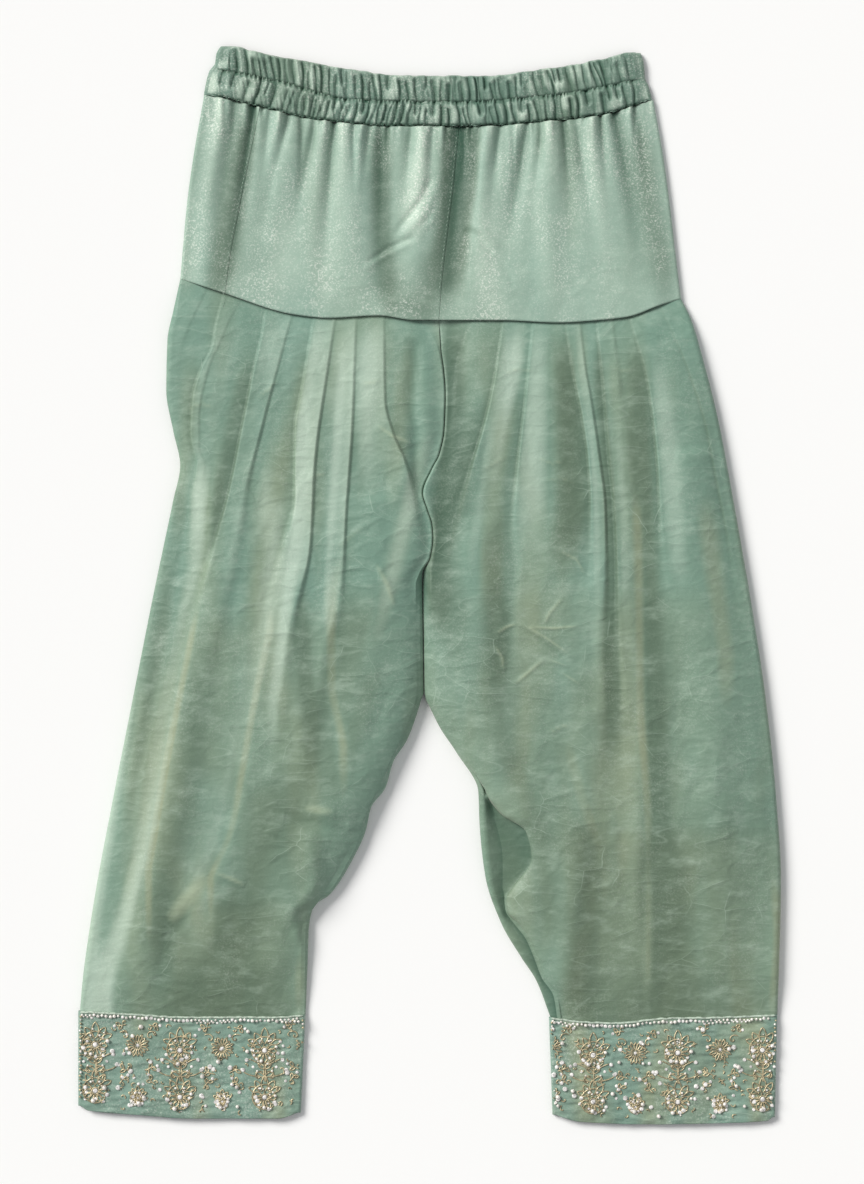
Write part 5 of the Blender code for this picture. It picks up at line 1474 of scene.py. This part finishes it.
def ramped(tree, value, low, high, floor=0.0, ceiling=1.0):
    """A value that runs from floor to ceiling as `value` runs from low to high."""
    node = tree.nodes.new("ShaderNodeMapRange")
    node.interpolation_type = "SMOOTHSTEP"
    for name, number in (("From Min", low), ("From Max", high), ("To Min", floor), ("To Max", ceiling)):
        node.inputs[name].default_value = number
    tree.links.new(value, node.inputs["Value"])
    return node.outputs["Result"]


def mapped(tree, where, stretch, turn):
    node = tree.nodes.new("ShaderNodeMapping")
    node.inputs["Scale"].default_value = stretch
    node.inputs["Rotation"].default_value = (0, 0, turn)
    tree.links.new(where, node.inputs["Vector"])
    return node.outputs["Vector"]


def noise(tree, where, scale, detail, rough, stretch=(1, 1, 1), turn=0.0, bend=0.0):
    node = tree.nodes.new("ShaderNodeTexNoise")
    node.inputs["Scale"].default_value = scale
    node.inputs["Detail"].default_value = detail
    node.inputs["Roughness"].default_value = rough
    node.inputs["Distortion"].default_value = bend
    tree.links.new(mapped(tree, where, stretch, turn), node.inputs["Vector"])
    return node.outputs["Fac"]


def attribute(tree, name):
    node = tree.nodes.new("ShaderNodeAttribute")
    node.attribute_name = name
    return node.outputs["Fac"]


def bumped(tree, height, distance, strength, before=None):
    node = tree.nodes.new("ShaderNodeBump")
    node.inputs["Distance"].default_value = distance
    node.inputs["Strength"].default_value = strength
    tree.links.new(height, node.inputs["Height"])
    if before:
        tree.links.new(before, node.inputs["Normal"])
    return node.outputs["Normal"]


def cells(tree, where, scale, stretch, turn, bend, bend_scale):
    """Distance from the straight edges of scattered cells, as in crushed cloth, a little bent by noise."""
    swirl = tree.nodes.new("ShaderNodeTexNoise")
    swirl.inputs["Scale"].default_value = bend_scale
    tree.links.new(where, swirl.inputs["Vector"])
    moved = tree.nodes.new("ShaderNodeVectorMath")
    moved.operation = "MULTIPLY_ADD"
    tree.links.new(swirl.outputs["Color"], moved.inputs[0])
    moved.inputs[1].default_value = (bend, bend, bend)
    tree.links.new(mapped(tree, where, stretch, turn), moved.inputs[2])
    node = tree.nodes.new("ShaderNodeTexVoronoi")
    node.feature = "DISTANCE_TO_EDGE"
    node.voronoi_dimensions = "2D"
    node.inputs["Scale"].default_value = scale
    tree.links.new(moved.outputs["Vector"], node.inputs["Vector"])
    return node.outputs["Distance"]


def worked(tree, first, second, operation="MULTIPLY"):
    """The product of two values, or what another operation makes of them."""
    node = tree.nodes.new("ShaderNodeMath")
    node.operation = operation
    for socket, value in zip(node.inputs, (first, second)):
        if isinstance(value, bpy.types.NodeSocket):
            tree.links.new(value, socket)
        else:
            socket.default_value = value
    return node.outputs[0]


# How one piece's organza looks: its mint, how much gold cast it shows, how strong the painted glints of its
# grain and the painted highlights along crease lines are, how crushed it is and how rough
Look = namedtuple("Look", "mint cast grain lines crushed roughness")
LEG_LOOK = Look((0.17, 0.29, 0.225, 1), 0.45, 0.14, 0.3, 1.0, 0.55)
YOKE_LOOK = Look((0.30, 0.43, 0.35, 1), 0.15, 0.75, 0.1, 0.35, 0.52)
BAND_LOOK = Look((0.14, 0.23, 0.18, 1), 0.2, 0.5, 0.0, 0.3, 0.52)
CUFF_LOOK = Look((0.18, 0.285, 0.23, 1), 1.3, 0.4, 0.4, 1.4, 0.52)


def ridged(tree, where, scale, stretch, turn, bend):
    """Distance from the winding lines of a noise: 0 on a line, up to about a half between lines."""
    value = noise(tree, where, scale, 1.0, 0.4, stretch, turn, bend)
    return worked(tree, worked(tree, value, 0.5, "SUBTRACT"), 0.0, "ABSOLUTE")


def crushed_cloth(tree, where, look):
    """Where painted highlights along fine crease lines show, and the relief of straight facets and winding
    creases.
    """
    level = ridged(tree, where, 30.0, (0.26, 1.6, 1), 0.1, 0.12)
    slant = ridged(tree, where, 34.0, (0.3, 1.4, 1), 0.5, 0.1)
    back_slant = ridged(tree, where, 36.0, (0.3, 1.5, 1), -0.4, 0.1)
    patch = ramped(tree, noise(tree, where, 34.0, 2.0, 0.5), 0.5, 0.66)
    patch_level = ramped(tree, noise(tree, where, 30.0, 2.0, 0.5, (1, 1, 1), 1.0), 0.48, 0.64)
    patch_back = ramped(tree, noise(tree, where, 38.0, 2.0, 0.5, (1, 1, 1), 2.0), 0.52, 0.66)
    facets = cells(tree, where, 42.0, (0.7, 1.3, 1), 0.3, 0.014, 30.0)
    small_facets = cells(tree, where, 88.0, (0.8, 1.3, 1), -0.25, 0.007, 60.0)
    facet_patch = ramped(tree, noise(tree, where, 13.0, 2.0, 0.5, (1, 1, 1), 3.0), 0.42, 0.62, 0.15, 1.0)
    edge = worked(tree, ramped(tree, facets, 0.0, 0.02, 1.0, 0.0), facet_patch)
    lines = worked(tree, edge, worked(tree, patch, patch_level, "MAXIMUM"))
    ridge = worked(tree, ramped(tree, facets, 0.0, 0.2, 1.0, 0.0), facet_patch)
    small_ridge = ramped(tree, small_facets, 0.0, 0.22, 1.0, 0.0)
    normal = bumped(tree, ridge, 0.0008 * look.crushed, 0.45)
    normal = bumped(tree, small_ridge, 0.00022 * look.crushed, 0.45, normal)
    for distance, shows in ((level, patch_level), (slant, patch), (back_slant, patch_back)):
        thin = worked(tree, ramped(tree, distance, 0.0, 0.013, 1.0, 0.0), shows)
        soft = worked(tree, ramped(tree, distance, 0.0, 0.09, 1.0, 0.0), shows)
        lines = worked(tree, lines, worked(tree, thin, 0.45), "MAXIMUM")
        normal = bumped(tree, soft, 0.00045 * look.crushed, 0.5, normal)
    return lines, normal


def shot_colour(tree, where, look, weave):
    """Mint with patches of gold, cool and dull colour, paler with painted sheen or darker with painted shade
    by its tone, with painted glints in a bright grain.
    """
    tone = attribute(tree, "tone")
    cast = ramped(tree, noise(tree, where, 15.0, 2.0, 0.5, (1.3, 0.25, 1), 0.05), 0.46, 0.72, 0, look.cast)
    gold = worked(tree, cast, worked(tree, attribute(tree, "warm"), 0.8), "ADD")
    colour = mixed(tree, gold, look.mint, WARM)
    cool = noise(tree, where, 19.0, 2.0, 0.5, (1.2, 0.35, 1), -0.1)
    colour = mixed(tree, ramped(tree, cool, 0.5, 0.75, 0, 0.45), colour, COOL)
    dull = noise(tree, where, 9.0, 3.0, 0.55, (1, 0.7, 1), 0.3)
    colour = mixed(tree, ramped(tree, dull, 0.45, 0.7, 0, 0.2), colour, OLIVE_AND_SHADE)
    # Painted sheen where the tone is above 0, painted shade where it is below 0
    colour = mixed(tree, ramped(tree, tone, 0, 1, 0, 0.7), colour, PALE_AND_SHEEN)
    colour = mixed(tree, ramped(tree, tone, -1, 0, 0.75, 0), colour, OLIVE_AND_SHADE)
    mottle = noise(tree, where, 70.0, 4.0, 0.65, (0.6, 1.3, 1), 0.2)
    colour = mixed(tree, ramped(tree, mottle, 0.45, 0.8, 0.0, 0.25), colour, PALE_AND_SHEEN)
    # Painted glints in the weave's grain, stronger where the painted sheen is
    shine = ramped(tree, noise(tree, where, 30.0, 3.0, 0.6, (1, 0.5, 1)), 0.42, 0.66, 0.15, 0.8)
    shine = worked(tree, shine, ramped(tree, tone, 0, 1, 0, 0.5), "ADD")
    grain = worked(tree, ramped(tree, weave, 0.48, 0.68, 0.0, look.grain), shine)
    return mixed(tree, grain, colour, GRAIN_GLINT)


def organza(name, look):
    """Shot organza: a mint weave with a gold cast, with painted sheen on its ridges, painted highlights
    along its fine creases and rims, and painted shade in its hollows.
    """
    material, tree, shader, where = shaded(name)
    weave = noise(tree, where, 620.0, 2.0, 0.8)
    lines, normal = crushed_cloth(tree, where, look)
    colour = shot_colour(tree, where, look, weave)
    # Painted highlights along crease lines, painted shade in hollows and painted highlights on fold rims
    colour = mixed(tree, worked(tree, lines, look.lines), colour, PALE_AND_SHEEN)
    colour = mixed(tree, attribute(tree, "hollow"), colour, HOLLOW_SHADE)
    colour = mixed(tree, worked(tree, attribute(tree, "rim"), 0.4), colour, RIM_HIGHLIGHT)
    tree.links.new(colour, shader.inputs["Base Color"])
    shader.inputs["Metallic"].default_value = 0.0
    shader.inputs["Specular IOR Level"].default_value = 0.35
    shader.inputs["Sheen Weight"].default_value = 0.25
    shader.inputs["Sheen Roughness"].default_value = 0.4
    shader.inputs["Sheen Tint"].default_value = (1.0, 0.96, 0.86, 1)
    rough = ramped(tree, weave, 0.3, 0.75, look.roughness + 0.08, look.roughness - 0.08)
    tree.links.new(rough, shader.inputs["Roughness"])
    crushed = noise(tree, where, 42.0, 3.0, 0.5, (0.55, 1.15, 1), 0.12, 0.8)
    waved = noise(tree, where, 17.0, 2.0, 0.5, (0.4, 1.1, 1), 0.25, 0.4)
    normal = bumped(tree, crushed, 0.0020 * look.crushed, 0.45, normal)
    normal = bumped(tree, waved, 0.005 * look.crushed, 0.4, normal)
    normal = bumped(tree, weave, 0.00025, 0.5, normal)
    tree.links.new(normal, shader.inputs["Normal"])
    return material


def set_camera():
    data = bpy.data.cameras.new("camera")
    data.sensor_width = SENSOR
    data.lens = SENSOR * VIEWED_FROM_CLOTH / VIEW_HEIGHT
    data.clip_end = 50.0
    camera = bpy.data.objects.new("camera", data)
    camera.location = (VIEW_CENTRE[0] * MM, VIEW_CENTRE[1] * MM, CAMERA_HEIGHT * MM)
    bpy.context.scene.collection.objects.link(camera)
    bpy.context.scene.camera = camera


def set_sun(name, towards, strength, spread, colour=(1, 1, 1)):
    """A wide soft lamp that shines from the direction `towards`."""
    data = bpy.data.lights.new(name, "SUN")
    data.energy = strength
    data.angle = spread * pi / 180
    data.color = colour
    lamp = bpy.data.objects.new(name, data)
    lamp.rotation_mode = "QUATERNION"
    lamp.rotation_quaternion = Vector(towards).to_track_quat("Z", "Y")
    bpy.context.scene.collection.objects.link(lamp)


def set_world():
    world = bpy.data.worlds.new("studio")
    world.use_nodes = True
    background = world.node_tree.nodes["Background"]
    background.inputs["Color"].default_value = (0.97, 0.985, 1.0, 1)
    background.inputs["Strength"].default_value = 0.34
    bpy.context.scene.world = world
    bpy.context.scene.view_settings.view_transform = "Standard"


def lay_floor():
    """The white surface, which belongs to the studio and not to the part."""
    mesh = bpy.data.meshes.new("floor")
    corners = [(-1, -1), (1, -1), (1, 1), (-1, 1)]
    mesh.from_pydata([(FLOOR_HALF * x, FLOOR_HALF * y, FLOOR_Z) for x, y in corners], [], [(0, 1, 2, 3)])
    paper = bpy.data.materials.new("paper")
    paper.use_nodes = True
    shader = paper.node_tree.nodes["Principled BSDF"]
    shader.inputs["Base Color"].default_value = (0.9, 0.9, 0.9, 1)
    shader.inputs["Roughness"].default_value = 0.9
    mesh.materials.append(paper)
    floor = bpy.data.objects.new("floor", mesh)
    bpy.context.scene.collection.objects.link(floor)


set_camera()
set_world()
set_sun("key", (-0.66, 0.50, 0.62), 3.5, 28, (1.0, 0.985, 0.95))
set_sun("fill", (0.7, -0.3, 0.8), 0.35, 60)
lay_floor()
organza_cloth = organza("shot_organza", LEG_LOOK)
yoke_cloth = organza("lined_organza", YOKE_LOOK)
band_cloth = organza("gathered_organza", BAND_LOOK)
cuff_cloth = organza("cuff_organza", CUFF_LOOK)
waistband = make_waistband(band_cloth)
yoke_front_left, yoke_front_right, yoke_back = make_yoke(yoke_cloth)
leg_left = make_leg(LEFT_LEG, organza_cloth)
leg_right = make_leg(RIGHT_LEG, organza_cloth)
cuff_left, cuff_right = [make_cuff(cuff, cuff_cloth) for cuff in CUFFS]

gold = trim_material("gold_coil", (0.62, 0.53, 0.34, 1), 0.45, 0.35, 0.45)
crystal = trim_material("clear_stone", (0.93, 0.90, 0.88, 1), 0.0, 0.12, 0.5, 0.6)
pearl = trim_material("pearl", (0.90, 0.85, 0.79, 1), 0.0, 0.25, 0.6, 0.4)
piping = trim_material("folded_edge", (0.50, 0.60, 0.50, 1), 0.0, 0.5, 0.6)
thread = trim_material("thread", (0.42, 0.55, 0.45, 1), 0.0, 0.5, 0.6)
left_stitches = yoke_stitches("yoke_front_left_stitches", CENTRE_SEAM, thread)
side_stitches = yoke_stitches("yoke_back_stitches", SIDE_SEAM, thread)
left_trim = embroider(CUFFS[0], 11, gold, crystal, pearl, piping)
right_trim = embroider(CUFFS[1], 23, gold, crystal, pearl, piping)
